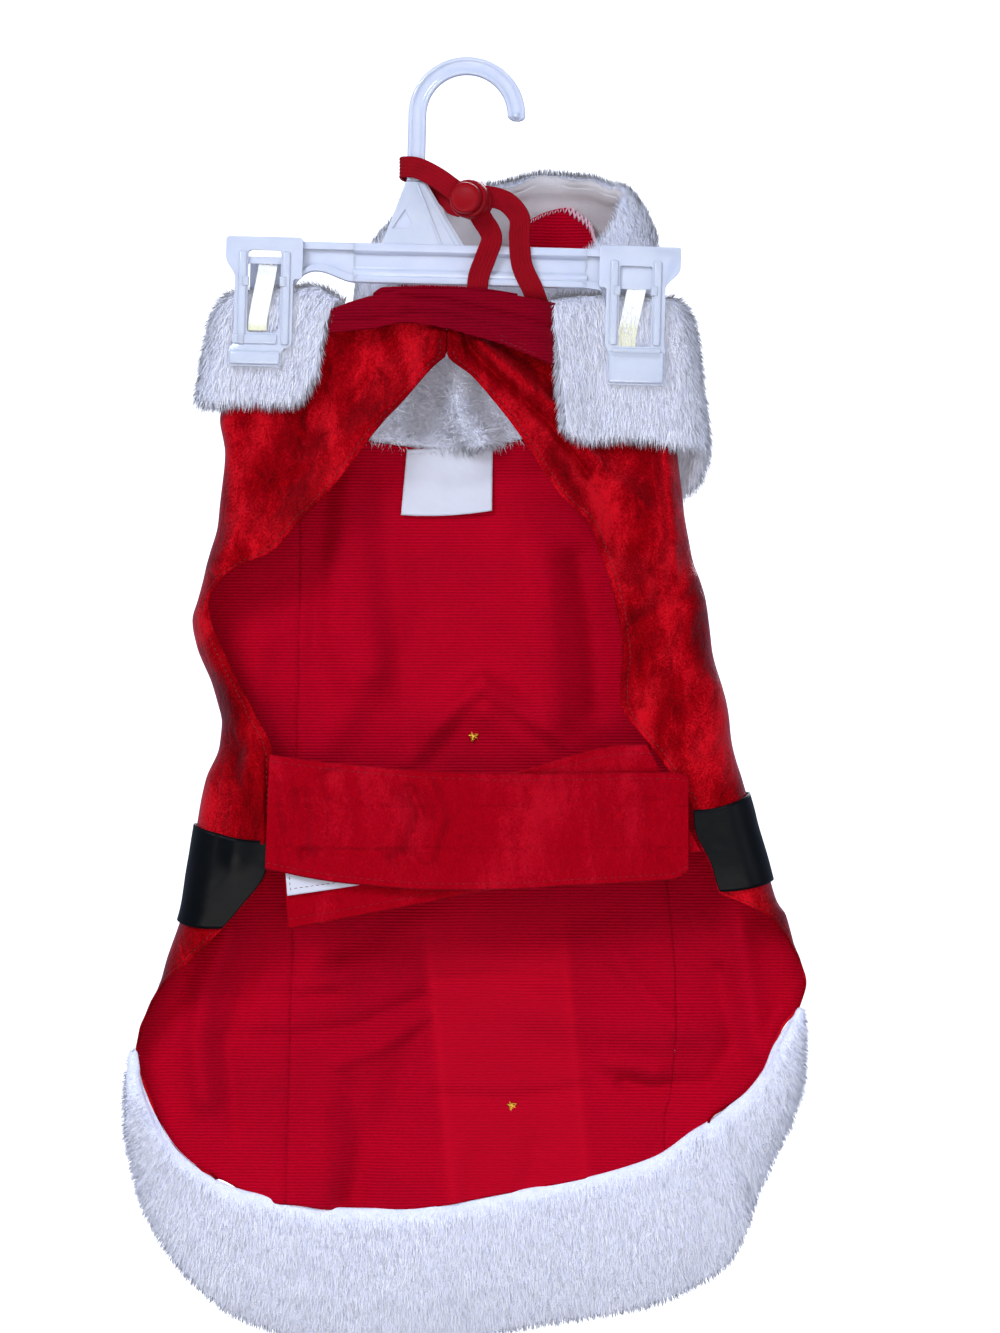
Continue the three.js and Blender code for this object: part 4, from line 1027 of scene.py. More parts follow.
# Folds of the sides' rear layers, inside the flanks.
LEFT_INNER = (
    (((-107, -383), (-118, -408), (-121, -432), (-118, -455)), 6.5, -4.6),
    (((-98, -400), (-108, -432), (-104, -470)), 5, 2.4), (((-92, -250), (-98, -300)), 6, -1.6),
)
RIGHT_INNER = (
    (((121, -380), (126, -410), (130, -434)), 6, -4.2), (((112, -400), (118, -430), (108, -452)), 5, 2.2),
    (((100, -372), (112, -392)), 4, -1.8),
)
# Smaller folds of the sides' front layers.
LEFT_CREASES = (
    (((-78, -118), (-80, -146), (-74, -162)), 5, 3.4), (((-64, -112), (-56, -138), (-62, -160)), 5, -2.4),
    (((-14, -118), (-19, -132), (-37, -152)), 4, -2.6), (((-24, -116), (-40, -128), (-50, -146)), 4, 1.6),
    (((-36, -150), (-62, -166), (-88, -180)), 4, -1.6), (((-40, -134), (-58, -150)), 4, 1.2),
    (((-96, -150), (-102, -175)), 5, 1.6), (((-80, -186), (-98, -196), (-108, -214)), 4.5, -1.8),
    (((-72, -176), (-90, -198)), 3.5, 1.6), (((-113, -269), (-103, -301), (-99, -335)), 4, 1.8),
    (((-118, -238), (-112, -262)), 4, -1.2), (((-108, -300), (-112, -330)), 4.5, 1.8),
    (((-92, -305), (-90, -340)), 4, -1.2), (((-120, -386), (-108, -404), (-118, -420)), 4, -1.6),
    (((-104, -372), (-109, -394), (-120, -418)), 4, 1.6),
)
RIGHT_CREASES = (
    (((-0.5, -119), (7, -128), (18, -138.5), (37.5, -156), (53, -177.5)), 2.0, 4.4),
    (((5.5, -120), (11, -124.5), (22, -133.5), (42, -150.5), (58.5, -173)), 3.4, -4.8),
    (((12, -118), (26, -128), (44, -142)), 3.4, 1.8),
    (((87, -165), (90, -192), (90.5, -232), (104, -221)), 3.0, -3.0), (((83, -170), (85, -200), (85, -228)), 4, 2.0),
    (((76, -150), (80, -178)), 5, 1.4), (((68, -182), (84, -196)), 4, -1.6), (((70, -216), (88, -206)), 4, 1.6),
    (((70, -248), (90, -232)), 4, 1.8), (((84, -262), (96, -248), (104, -232)), 4, -1.6),
    (((86, -290), (104, -272)), 4, 1.4), (((104, -300), (116, -286)), 4, -1.6), (((112, -325), (120, -306)), 4, 1.6),
    (((116, -366), (122, -392), (132, -412)), 4, 2.0), (((112, -372), (118, -398), (124, -420)), 4, -1.8),
)


@dataclass(frozen=True)
class Side:
    """What shapes one side of the coat: its level sections, its ends, its folds and its fluff."""

    table: Curve
    ends: Curve
    folds: tuple
    inner: tuple
    creases: tuple
    seed: float


@dataclass
class CoatShape:
    """Where the coat's cloth lies: every panel and what is sewn to it reads its place here."""

    left: Side = Side(Curve(LEFT_SIDE), Curve(LEFT_ENDS), LEFT_FOLDS, LEFT_INNER, LEFT_CREASES, 3.0)
    right: Side = Side(Curve(RIGHT_SIDE), Curve(RIGHT_ENDS), RIGHT_FOLDS, RIGHT_INNER, RIGHT_CREASES, 9.0)
    depth: Curve = Curve(BACK_DEPTH)
    neckline: Curve = Curve(NECKLINE)
    hem: Curve = Curve(HEM)
    neck_z: float = -165.6
    centre_at_neck: float = -8.5
    drift: float = -0.095
    bow: float = 4.0
    fold_share: float = 1.3
    arc_steps: int = 26

    def centre_line(self, z: Array) -> Array:
        """x of the coat's centre line, which hangs askew."""
        return self.centre_at_neck + self.drift * (z - self.neck_z)

    def back_y(self, x: Array, z: Array) -> Array:
        """y of the back panel's middle surface."""
        half = (self.right.table(z)[..., 0] - self.left.table(z)[..., 0]) / 2
        off = (x - self.centre_line(z)) / half
        return (self.depth(z)[..., 0] - self.bow * np.minimum(off * off, 1.4)
                + self.fold_share * fold_rise(BACK_FOLDS, x, z))

    def back_point(self, s: Array, z: Array) -> Array:
        """A point of the back panel by the share of the way from its left seam to its right one."""
        x = lerp(self.left.table(z)[..., 0] + JOIN, self.right.table(z)[..., 0] - JOIN, s)
        return np.stack([x, self.back_y(x, z), z], axis=-1)

    def side_point(self, side: Side, s: Array, z: Array) -> Array:
        """Points of a side.

        Args:
            side: the side.
            s: the share of the way from the seam round the flank to the free edge.
            z: the height.

        Returns:
            The points.
        """
        seam, fold, edge, back, front, turn, edge_y = np.moveaxis(side.table(z), -1, 0)
        outward = np.sign(fold)
        turn_x = fold - outward * turn
        middle, reach = (back + front) / 2, (back - front) / 2
        past = outward * (edge - turn_x)
        end = np.where(past > 0, math.pi - np.arcsin(np.clip(past / turn, 0, 1)), math.pi)
        xs, ys = [seam], [self.back_y(seam, z)]
        for t in (0.12, 0.25, 0.38, 0.5, 0.62, 0.75, 0.88):
            xs.append(lerp(seam, turn_x, t))
            ys.append(lerp(ys[0], back, smooth(t)) + 0.3 * fold_rise(side.folds, xs[-1], z))
        for i in range(self.arc_steps + 1):
            angle = end * i / self.arc_steps
            xs.append(turn_x + outward * turn * np.sin(angle))
            ys.append(middle + reach * np.cos(angle))
        last_x, last_y = xs[-1], ys[-1]
        for t in steps(17)[1:]:
            xs.append(np.where(past <= 0, lerp(turn_x, edge, t), last_x))
            y = lerp(front, edge_y, smooth(2 * t - 1)) + fold_rise(side.folds, xs[-1], z) * min(1, 3 * t)
            ys.append(np.where(past <= 0, y, last_y))
        x, y = np.stack(xs), np.stack(ys)
        length = np.hypot(np.diff(x, axis=0), np.diff(y, axis=0)).cumsum(axis=0)
        length = np.concatenate([np.zeros_like(length[:1]), length])
        goal = length[-1] * s
        i = np.clip((length <= goal).sum(axis=0) - 1, 0, len(x) - 2)
        (start, stop), (x0, x1), (y0, y1) = (
            [np.take_along_axis(values, k[None], axis=0)[0] for k in (i, i + 1)] for values in (length, x, y))
        t = np.clip((goal - start) / np.maximum(stop - start, 1e-9), 0, 1)
        return np.stack([lerp(x0, x1, t), lerp(y0, y1, t), z], axis=-1)

    def round_coat(self, way: Array, z: Array) -> Array:
        """Points on the coat by the way round it.

        Args:
            way: 0 to 1 along the left side, to 2 along the back panel and to 3 along the right side.
            z: the height.

        Returns:
            The points.
        """
        left = self.side_point(self.left, np.clip(1 - way, 0, 1), z)
        back = self.back_point(np.clip(way - 1, 0, 1), z)
        right = self.side_point(self.right, np.clip(way - 2, 0, 1), z)
        return np.where((way <= 1)[..., None], left, np.where((way <= 2)[..., None], back, right))

    def side_grid(self, side: Side, rows: int, columns: int) -> Grid:
        """A side's middle surface with its smaller creases.

        Args:
            side: the side.
            rows: how many points down.
            columns: how many points across.

        Returns:
            The grid, its first column at the seam.
        """
        s, v = np.meshgrid(steps(columns), steps(rows))
        span = side.ends(s)
        z = lerp(span[..., 0], span[..., 1], v)
        grid = self.side_point(side, s, z)
        front = smooth((2.0 - grid[..., 1]) / 6) * smooth((1 - s) * 14 + 0.25)
        rear = smooth((grid[..., 1] - 3.0) / 5) * smooth(s * 10)
        creases, inner = (fold_rise(folds, grid[..., 0], z) for folds in (side.creases, side.inner))
        grid[..., 1] += front * (creases - 0.25) + rear * inner
        return grid + normals(grid) * (fluff(grid, 16, side.seed) * 0.5 * smooth(s * 10))[..., None]

    def back_grid(self, rows: int, columns: int) -> Grid:
        """The back panel's middle surface, its first row at the neckline."""
        s, v = np.meshgrid(steps(columns), steps(rows))
        top, bottom = (line(lerp(table[0][0], table[-1][0], s))[..., 0]
                       for line, table in ((self.neckline, NECKLINE), (self.hem, HEM)))
        return self.back_point(s, lerp(top, bottom, v))


# ---------------- the coat
@dataclass
class Panels:
    """The back panel and the two sides, with their seams, hems and gold threads."""

    shape: CoatShape
    finishes: Finishes
    back_rows: int = 250
    back_columns: int = 120
    side_rows: int = 190
    side_columns: int = 130
    hem_turn: float = 3.2  # the free edges are turned in by this much and stitched
    seam_width: float = 1.3
    knots: tuple = ((2.2, -294.0), (19.4, -459.5))

    def build(self) -> None:
        """Builds the three panels and what is sewn into them."""
        self.back()
        self.side("left", self.shape.left, 1)
        self.side("right", self.shape.right, -1)
        self.gold_threads()

    def back(self) -> None:
        """The back panel: knit towards the belly side, velvet behind, pale over the placket."""
        grid = self.shape.back_grid(self.back_rows, self.back_columns)
        z = grid[..., 2]
        across, _ = spans(grid)
        grid[..., 1] += 0.7 * bell(across, self.seam_width) + 0.3 * bell(across[:, -1:] - across, self.seam_width)
        off = np.abs(grid[..., 0] - self.shape.centre_line(z))
        edge = bell(off - PLACKET_HALF, 2.2)
        inside = smooth((PLACKET_HALF - off) / 3 + 0.5)
        low = smooth((-372 - z) / 30) * 0.75 + 0.25
        grid[..., 1] -= inside * 0.5 * low
        cloth("coat_back", grid, CLOTH, [self.finishes.velvet, self.finishes.knit], "velvet_back",
              ["back_panel"], ["hanger_bar"],
              values={"under": np.clip((inside * 0.5 + edge * 0.35) * low, 0, 1).ravel()})

    def side(self, word: str, side: Side, outward: int) -> None:
        """One side, with its turned and stitched free edge.

        Args:
            word: left or right.
            side: its shape.
            outward: 1 where its grid's normals point into the coat, else -1.
        """
        grid = self.shape.side_grid(side, self.side_rows, self.side_columns)
        across, _ = spans(grid)
        from_edge = across[:, -1:] - across
        out = normals(grid) * outward
        grid[..., 1] += (0.7 if outward > 0 else 0.3) * bell(across, self.seam_width)
        down = spans(grid)[1]
        groove = bell(from_edge - self.hem_turn, 0.7) * 0.35
        roll = bell(from_edge - self.hem_turn * 0.45, 3.2) * 0.35
        pucker = np.sin(down / 2.1 + np.sin(down / 9)) * 0.16 * bell(from_edge - self.hem_turn, 3.5)
        grid = grid + out * (groove - roll + pucker)[..., None]
        cloth(f"coat_side_{word}", grid, CLOTH, [self.finishes.velvet, self.finishes.knit], "velvet",
              [f"side_{word}"], ["hanger_bar"], turned=Face(outward > 0))
        rows = np.arange(6, self.side_rows - 8)
        at = np.argmin(np.abs(from_edge - self.hem_turn), axis=1)[rows]
        lift = -out[rows, at]
        stitches(f"hem_stitch_{word}", grid[rows, at] + lift * (CLOTH / 2), lift, self.finishes.red_thread,
                 "velvet", 2.6, (0.9, 0.2))

    def gold_threads(self) -> None:
        """The crossed gold threads that hold the two buttons, where they come through the back."""
        bm = bmesh.new()
        for x, z in self.knots:
            y = float(self.shape.back_y(np.array(x), np.array(z))) - CLOTH / 2 - 0.6
            for k, turn in enumerate((0.5, 1.2, 2.0, 2.7, 0.1, 1.6)):
                bead(bm, (x + 0.5 * math.cos(k * 2.1), y - 0.12 * k, z + 0.5 * math.sin(k * 2.1)),
                     Matrix.Rotation(turn, 4, "Y"), (2.1, 0.42, 0.42), 2)
            for k in range(3):
                bead(bm, (x + 1.6 * math.cos(k * 2.4), y - 0.3, z + 2.0 * math.sin(k * 2.4 + 0.6)),
                     Matrix.Rotation(k * 1.1, 4, "Y"), (1.3, 0.2, 0.2))
        piece("gold_threads", body_mesh("gold_threads", bm, sharp=180), [self.finishes.gold], "button")


@dataclass
class Label:
    """The woven label at the neck, bare, sewn along its top edge."""

    shape: CoatShape
    finishes: Finishes
    left: float = -27.5
    right: float = 11.0
    top: float = -165.6
    bottom: float = -196.0
    thick: float = 0.5

    def build(self) -> None:
        """Builds the label and its stitches."""
        u, v = np.meshgrid(steps(40), steps(30))
        x = lerp(self.left - 2.6 * v, self.right - 0.4 * v, u)
        z = lerp(self.top, self.bottom, v) + 1.9 * u + 1.2 * v * (2 * u - 1) ** 2
        y = self.shape.back_y(x, z) - CLOTH / 2 - SEAM - self.thick / 2 - 0.5 * v - 1.4 * v * v * (0.4 + u * 0.6)
        grid = np.stack([x, y, z], axis=-1)
        cloth("neck_label", grid, self.thick, [self.finishes.tape], "tape", ["label"], ["coat_back"])
        stitches("label_stitch", grid[2] + BELLYWARD * self.thick / 2, BELLYWARD, self.finishes.tape, "tape", 2.4,
                 (0.9, 0.2))


@dataclass
class Pile:
    """The standing fibres of a plush face, each a long thin blade of one face."""

    length: float = 4.0
    width: float = 0.5
    per_mm2: float = 2.6
    stand: float = 0.42
    stray: float = 0.26
    seed: int = 3

    def grow(self, base: Piece, fibre: Material, slot: str) -> Piece:
        """Grows the fibres on a piece, thick where its pile attribute is 1, combed along comb.

        Args:
            base: the piece, with the attributes pile and comb.
            fibre: the fibres' finish.
            slot: its material slot.

        Returns:
            The fibres as one object.
        """
        group = bpy.data.node_groups.new("grow_pile", "GeometryNodeTree")
        for way in ("INPUT", "OUTPUT"):
            group.interface.new_socket("Geometry", in_out=way, socket_type="NodeSocketGeometry")
        pile, comb = (add(group, "GeometryNodeInputNamedAttribute", {"Name": name}, data_type=kind)
                      for name, kind in (("pile", "FLOAT"), ("comb", "FLOAT_VECTOR")))
        density = add(group, "Math", {0: pile, 1: self.per_mm2 * 1e6}, operation="MULTIPLY")
        roots = add(group, "GeometryNodeDistributePointsOnFaces", {
            "Mesh": add(group, "NodeGroupInput"), "Density": density, "Seed": self.seed}).outputs
        wild = add(group, "FunctionNodeRandomValue", {"Min": (-1.0,) * 3, "Max": (1.0,) * 3,
                                                      "Seed": self.seed + 1}, data_type="FLOAT_VECTOR")
        size, tone, spin = (
            add(group, "FunctionNodeRandomValue", {2: least, 3: most, "Seed": self.seed + k},
                data_type="FLOAT").outputs[1]
            for k, least, most in ((2, 0.55, 1.15), (3, 0, 1), (4, 0, math.pi)))
        up, loose = (add(group, "VectorMath", {0: vector, "Scale": share}, operation="SCALE")
                     for vector, share in ((roots["Normal"], self.stand), (wild, self.stray)))
        way = add(group, "VectorMath", {0: up, 1: loose}, operation="ADD")
        way = add(group, "VectorMath", {0: way, 1: comb}, operation="ADD")
        turn = add(group, "FunctionNodeAlignRotationToVector", {"Vector": way}, axis="Z")
        twist = add(group, "FunctionNodeEulerToRotation", {0: add(group, "CombineXYZ", {2: spin})})
        turn = add(group, "FunctionNodeRotateRotation", {0: turn, 1: twist}, rotation_space="LOCAL")
        blade = add(group, "GeometryNodeMeshCircle", {"Vertices": 3, "Radius": 1.0}, fill_type="NGON")
        lock = add(group, "GeometryNodeTransform", {
            "Geometry": blade, "Translation": (0, 0, self.length * 0.00033),
            "Rotation": (0, -math.pi / 2, 0), "Scale": (self.length * 0.00067, self.width * 0.00058, 1)})
        rooted = add(group, "GeometryNodeStoreNamedAttribute", {
            "Geometry": roots["Points"], "Name": "skin", "Value": roots["Normal"]},
            data_type="FLOAT_VECTOR", domain="POINT")
        locks = add(group, "GeometryNodeInstanceOnPoints", {
            "Points": rooted, "Instance": lock, "Rotation": turn, "Scale": size})
        toned = add(group, "GeometryNodeStoreNamedAttribute", {"Geometry": locks, "Name": "tone", "Value": tone},
                    data_type="FLOAT", domain="INSTANCE")
        add(group, "NodeGroupOutput", {0: add(group, "GeometryNodeRealizeInstances", {"Geometry": toned})})
        modifier = base.modifiers.new("pile", "NODES")
        modifier.node_group = group
        mesh = bpy.data.meshes.new_from_object(base.evaluated_get(bpy.context.evaluated_depsgraph_get()))
        base.modifiers.remove(modifier)
        bpy.data.node_groups.remove(group)
        mesh.name = f"{base.name}_pile"
        mesh.materials.clear()
        mesh.shade_smooth()
        return piece(mesh.name, mesh, [fibre], slot)


@dataclass
class Plush:
    """Makes a plush piece: a soft closed body with a fluffy skin and its standing fibres."""

    finishes: Finishes
    pile: Pile

    def make(self, name: str, grid: Grid, half: Array, node: str, round_rows: bool = False,
             bare_side: int = 0, bare_from: float = 0.2, seed: float = 0.0, lump: float = 0.5,
             lay: Array | float = 1.0, comb_down: float = 0.0, seam: float = 0.0, held: str = "folded",
             rests_on: Sequence[str] = ("coat_back",)) -> None:
        """Args:
            name: its name.
            grid: the middle surface, combed along its rows.
            half: half the pile's depth at each point.
            node: the CAD node it stands for.
            round_rows: whether the last row meets the first.
            bare_side: 1 or -1 for a face that shows the backing, 0 for none.
            bare_from: where the backing ends, from 1 on its face to 0 on the edge.
            seed: tells this piece's fluff from another's.
            lump: how far the fluff moves the skin.
            lay: how flat the pile is combed at each point.
            comb_down: how strongly the fibres hang.
            seam: how far from its first edge the pile is trapped.
            held: how it is held.
            rests_on: what it is sewn to.
        """
        skin, side = stuffed(grid, half, round_rows)
        out = normals(skin, True, round_rows)
        sign = np.sign(((skin - grid.mean(axis=1, keepdims=True)) * out).sum(axis=2).mean())
        bare = side * bare_side > bare_from if bare_side else np.zeros(side.shape, bool)
        soft = fluff(skin, 7, seed) * lump + fluff(skin, 2.6, seed + 40) * lump * 0.5
        along = np.gradient(grid, axis=1)
        along *= np.broadcast_to(lay, grid.shape[:2])[..., None] / np.maximum(
            np.linalg.norm(along, axis=2, keepdims=True), 1e-9)
        n, m = grid.shape[1], skin.shape[1]
        column = np.interp(np.arange(m), [0, n - 1, n + 6, 2 * n + 6, m - 1], [0, n - 1, n - 1, 0, 0]).astype(int)
        across, _ = spans(grid)
        free = smooth((across[:, column] - 0.2 * seam) / seam) if seam else np.ones(skin.shape[:2])
        skin = skin + out * (sign * soft * free * np.where(bare, 0.25, 1.0))[..., None]
        mesh = grid_mesh(name, skin, seams=Seams.CLOSED if round_rows else Seams.CAPPED, values={
            "pile": (free * np.where(bare, 0.0, 1.0)).ravel(),
            "comb": (along[:, column] + np.array([0, 0, -comb_down])).reshape(-1, 3)})
        obj = piece(name, mesh, [self.finishes.ground, self.finishes.backing], "plush", [node])
        if bare_side:
            furred = np.empty(len(mesh.vertices))
            mesh.attributes["pile"].data.foreach_get("value", furred)
            first = np.array([p.vertices[0] for p in mesh.polygons])
            mesh.polygons.foreach_set("material_index", (furred[first] < 0.5).astype(int))
        fibres = self.pile.grow(obj, self.finishes.fibre, "plush")
        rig.sheet(obj, held=held, rests_on=list(rests_on), with_pieces=[fibres], **cut_size(grid))


# The hem trim by stations: x, z and y of its sewn edge, then of its free edge.
TRIM = (
    (-147.8, -434, 1, -150.5, -432.5, 3), (-145.3, -448, 2, -153.5, -450, 6), (-140.8, -459, 4, -153.5, -468, 8),
    (-136, -469, 5, -151.5, -482, 9), (-130, -478, 7, -146, -503, 11), (-122.5, -485, 8, -136, -522, 12),
    (-111.6, -491.6, 9.8, -119, -542, 13), (-90, -497.1, 10.4, -93, -556, 13), (-62, -502.4, 11.4, -60, -563, 14),
    (-30, -503.1, 13, -26, -564.5, 15), (-4, -500.1, 14, 2, -561, 16), (25, -494.6, 14.6, 32, -555.5, 16),
    (60, -487.4, 14.2, 70, -549, 15), (86, -479, 13, 101, -540, 14), (99, -471, 11.8, 115, -531, 13),
    (107.8, -465.5, 8, 123, -518, 12), (116, -459, 6, 128, -502, 11), (124, -452.5, 5, 135.5, -485, 10),
    (132.5, -441, 4, 144, -467, 9), (135.4, -433, 3, 149, -450, 8), (140.9, -423.6, 2, 150.2, -433.4, 6),
    (147.6, -413.2, 1, 150.2, -417.7, 3),
)
TRIM_FOLDS = (
    (((115, -468), (127, -500)), 5, 3.0), (((-128, -500), (-110, -530)), 8, 1.4),
    (((-40, -520), (-34, -556)), 8, 1.2), (((50, -508), (58, -540)), 7, 1.4),
)
# The collar by stations: its seam, its top fold and its hem as (x, y, z), then the pile's depth.
COLLAR = (
    (-58.5, -2.8, -107.5, -58, -7.4, -99, -68, -12, -132.5, 5.2),
    (-63, -2.7, -109, -62.5, -6.6, -96, -71.5, -10.6, -139.5, 5),
    (-70, -2.4, -110, -70, -5.2, -93.5, -77, -8.4, -142, 4.4),
    (-86, -2, -112.5, -87, -4.4, -95, -95, -6.8, -143, 3.6), (-98, -2, -115, -101, -3.8, -96, -109, -6, -143, 4),
    (-104, 2, -121, -107, 4.5, -100, -117.5, 1.5, -141.5, 5), (-98, 9.5, -133, -101, 14.5, -116, -104, 16, -147, 5.5),
    (-76, 13.5, -149.2, -80, 19, -134, -88, 24.5, -170, 5.5), (-39, 15.2, -159.8, -40, 21, -137, -48, 26, -188, 5.5),
    (-22, 15.6, -162.6, -22, 21, -131, -24, 26.2, -191, 5.5), (-6, 15.7, -163.8, -7, 20.7, -126, -3, 26.3, -192, 5.5),
    (22, 15.5, -159.4, 26, 20.5, -121, 24, 26.2, -192, 5.5), (62, 13.2, -149.4, 64, 18.5, -122, 72, 24.2, -188, 5.5),
    (83, 9.5, -135.5, 86, 13.5, -110, 99, 16, -180, 5.5), (90, 2, -126.5, 93, 4.5, -102, 105, 2, -164, 5.5),
    (84, -2, -122, 88, -4, -99, 93, -6.4, -160.5, 4), (73, -2, -120.5, 74, -4.2, -98.4, 77, -6.9, -160, 3.6),
    (60, -2, -118.5, 60, -4.3, -97.5, 61, -6.9, -160, 3.8), (47.5, -2.6, -117, 46, -5.6, -98, 49.5, -9.8, -159, 4.8),
    (41, -2.8, -116, 37, -6.6, -99.5, 42, -11.2, -154, 5.5),
)
COLLAR_FOLDS = (
    (((1, -118), (-3, -130), (-5.5, -140), (-3, -152), (6, -162)), 6.5, -9.5), (((-23, -122), (-25, -152)), 8, 8.5),
)
# The tab's layers by stations: x, z of the upper and of the lower edge, and y.
TAB_OVER = (
    (-65, -105.5, -115, -8), (-57, -103, -114.3, -12.6), (-42, -98.5, -113, -15.8), (-28, -96, -110.5, -16),
    (-11, -95.8, -112.8, -16), (2, -96.3, -116.3, -16), (15, -97.4, -120, -16), (27.5, -99.5, -125, -15.9),
    (35, -101, -128, -13.5), (40.5, -102, -130, -7),
)
TAB_UNDER = (
    (-42, -97.5, -107, -13.6), (-37, -94.6, -108, -13.8), (-20, -94.2, -109, -13.8), (0, -94.6, -110, -13.8),
    (22, -97.5, -112, -13.7),
)
TAB_PLEATS = (
    (((-29, -99), (-8, -100.6), (4, -104), (22, -108), (36, -112.5)), 1.5, 1.5),
    (((-29, -102), (-8, -104), (4, -107.5), (22, -112), (36, -117)), 2.4, -1.3),
    (((-58, -110), (-40, -109), (-24, -107)), 1.6, 0.9), (((-52, -104), (-34, -101)), 2.2, -0.6),
    (((10, -101), (30, -104)), 2, 0.5), (((0, -112), (20, -118)), 2.5, -0.5),
)
# The tab's rows of stitches, each from one (x, z) to another.
TAB_ROWS = (
    ((-54, -107), (-41, -104.5)), ((-54, -109.2), (-41, -106.8)), ((14, -116), (31, -122.4)),
    ((14, -118), (30, -124.4)),
)
# The straps by stations: x and z of the upper edge, of the lower edge, and y.
STRAP_OVER = (
    (-87.6, -301.5, -89.6, -352, -17.4), (-57, -305.5, -57, -358, -18), (-12.4, -309, -12.4, -361.4, -18.4),
    (19, -310, 19, -361, -18), (43, -310, 43, -359.6, -17.8), (74.6, -309.5, 74.6, -357.9, -17.6),
    (91, -309.5, 91, -356.6, -17.4), (97.4, -311.5, 97.4, -352.5, -17.3),
)
STRAP_UNDER = (
    (-84, -322, -79.5, -379, -14), (-50, -320, -50, -373.5, -14.4), (-12, -315, -12, -366, -14.8),
    (19, -309.6, 19, -360, -15), (55, -299.4, 58, -353, -15), (67, -297.4, 80, -349, -15),
    (79.2, -297.4, 103, -344.5, -15),
)
STRAP_DENTS = (
    (((-74, -318), (-72, -330), (-73, -346)), 2.2, 1.8), (((-26, -316), (-21, -328), (-27, -345)), 1.8, 2.8),
    (((-62, -311), (-58, -309)), 3, 1.8), (((-72, -345), (-70, -344)), 2.5, 1.2),
    (((-33, -348), (-30, -349)), 2.6, 1.8), (((-45, -316), (-30, -322)), 3, -0.8),
    (((54, -318), (54, -342)), 3.5, -0.7), (((75, -318), (75, -342)), 3.5, -0.7),
    (((10, -312), (70, -314), (92, -322)), 3, -0.8), (((30, -322), (60, -324), (90, -322)), 2.4, 0.6),
    (((-84, -330), (-80, -352)), 3, 1.0), (((66, -330), (92, -350)), 3, 0.8),
    (((-16.5, -316), (-12, -330), (-18, -347)), 3.2, -1.7), (((-34, -318), (-31, -330), (-36, -344)), 3, -0.9),
    (((-66, -318), (-64.5, -330), (-66, -344)), 3, -1.0), (((-81, -314), (-80, -332)), 3, -1.1),
)
# z of the belt's upper and lower edges by the way round the coat.
BELT = (
    (0.07, -339.5, -378.5), (0.45, -333, -374), (1, -331, -371.5), (2, -320, -360), (2.55, -319, -357),
    (2.97, -326, -362),
)

@dataclass
class Collar:
    """The folded plush collar, from one lapel round the back of the neck to the other."""

    plush: Plush
    stations: int = 230
    across: int = 44

    def build(self) -> None:
        """Builds the collar."""
        rows, cores = evenly(COLLAR, steps(self.stations)), []
        for row in rows:
            seam, top, hem, pile = row[:3], row[3:6], row[6:9], row[9]
            through = (hem - seam) * (1, 1, 0)
            through /= np.linalg.norm(through)
            spread = pile * 0.55 + 0.2
            out, drop = through * spread, (0, 0, spread * 1.6)
            cores.append(spline([seam, top - out - drop, top - (0, 0, pile / 2), top + out - drop,
                                 lerp(top + out, hem, 0.55) + through * 0.6, hem], self.across))
        grid = np.stack(cores)
        along, down = steps(self.stations)[:, None], steps(self.across)[None]
        sag = smooth((down - 0.45) / 0.55)
        wave = np.sin(along * 46) * 0.9 + np.sin(along * 21 + 1.2) * 1.1
        grid[..., 2] += sag * wave * 0.8
        grid = grid + normals(grid) * (sag * np.sin(along * 33 + 2) * 0.6)[..., None]
        stand = (1 - sag) * smooth(grid[..., 1] / 8)
        grid[..., 1] += stand * fold_rise(COLLAR_FOLDS, grid[..., 0], grid[..., 2])
        half = rows[:, -1:] / 2 * taper(self.stations, 0.012, 0.3)[:, None] * (1 - 0.25 * (1 - down))
        self.plush.make("coat_collar", grid, half, "collar", seed=5, comb_down=0.25, lay=lerp(1.0, 0.25, stand))


@dataclass
class HemTrim:
    """The wide plush band along the hem."""

    plush: Plush
    start: float = 1.5
    stop: float = 3.4  # the pile itself reaches this much further than the cloth
    depth: float = 9.0
    sag: float = 2.2
    stations: int = 230
    across: int = 30

    def build(self) -> None:
        """Builds the band."""
        rows = evenly(TRIM, steps(self.stations))
        inner, outer = rows[:, [0, 2, 1]], rows[:, [3, 5, 4]]
        reach = np.linalg.norm(outer - inner, axis=1)[:, None]
        t = steps(self.across)
        shares = lerp(self.start / reach, 1 - np.minimum(self.stop, reach * 0.5) / reach, t)
        grid = lerp(inner[:, None], outer[:, None], shares[..., None])
        grid[..., 1] -= 1.5 * np.sin(math.pi * t)
        under = smooth((grid[..., 0] + 122) / 24) * smooth((104 - grid[..., 0]) / 20)
        grid[..., 2] -= self.sag * smooth((-440 - grid[..., 2]) / 60) * under
        along = steps(self.stations)[:, None]
        grid[..., 1] += fold_rise(TRIM_FOLDS, grid[..., 0], grid[..., 2]) + 0.9 * np.sin(along * 40 + 0.6) * t
        bulge = np.interp(t, [0, 0.12, 0.33, 0.67, 0.9, 1], [0.42, 0.8, 1, 1, 0.75, 0.5])
        half = self.depth / 2 * bulge * taper(self.stations, 0.11, 0.08)[:, None]
        self.plush.make("coat_hem", grid, half, "hem_trim", seed=17, lump=0.3, comb_down=0.1, seam=4.0,
                        rests_on=["coat_back", "coat_side_left", "coat_side_right"])


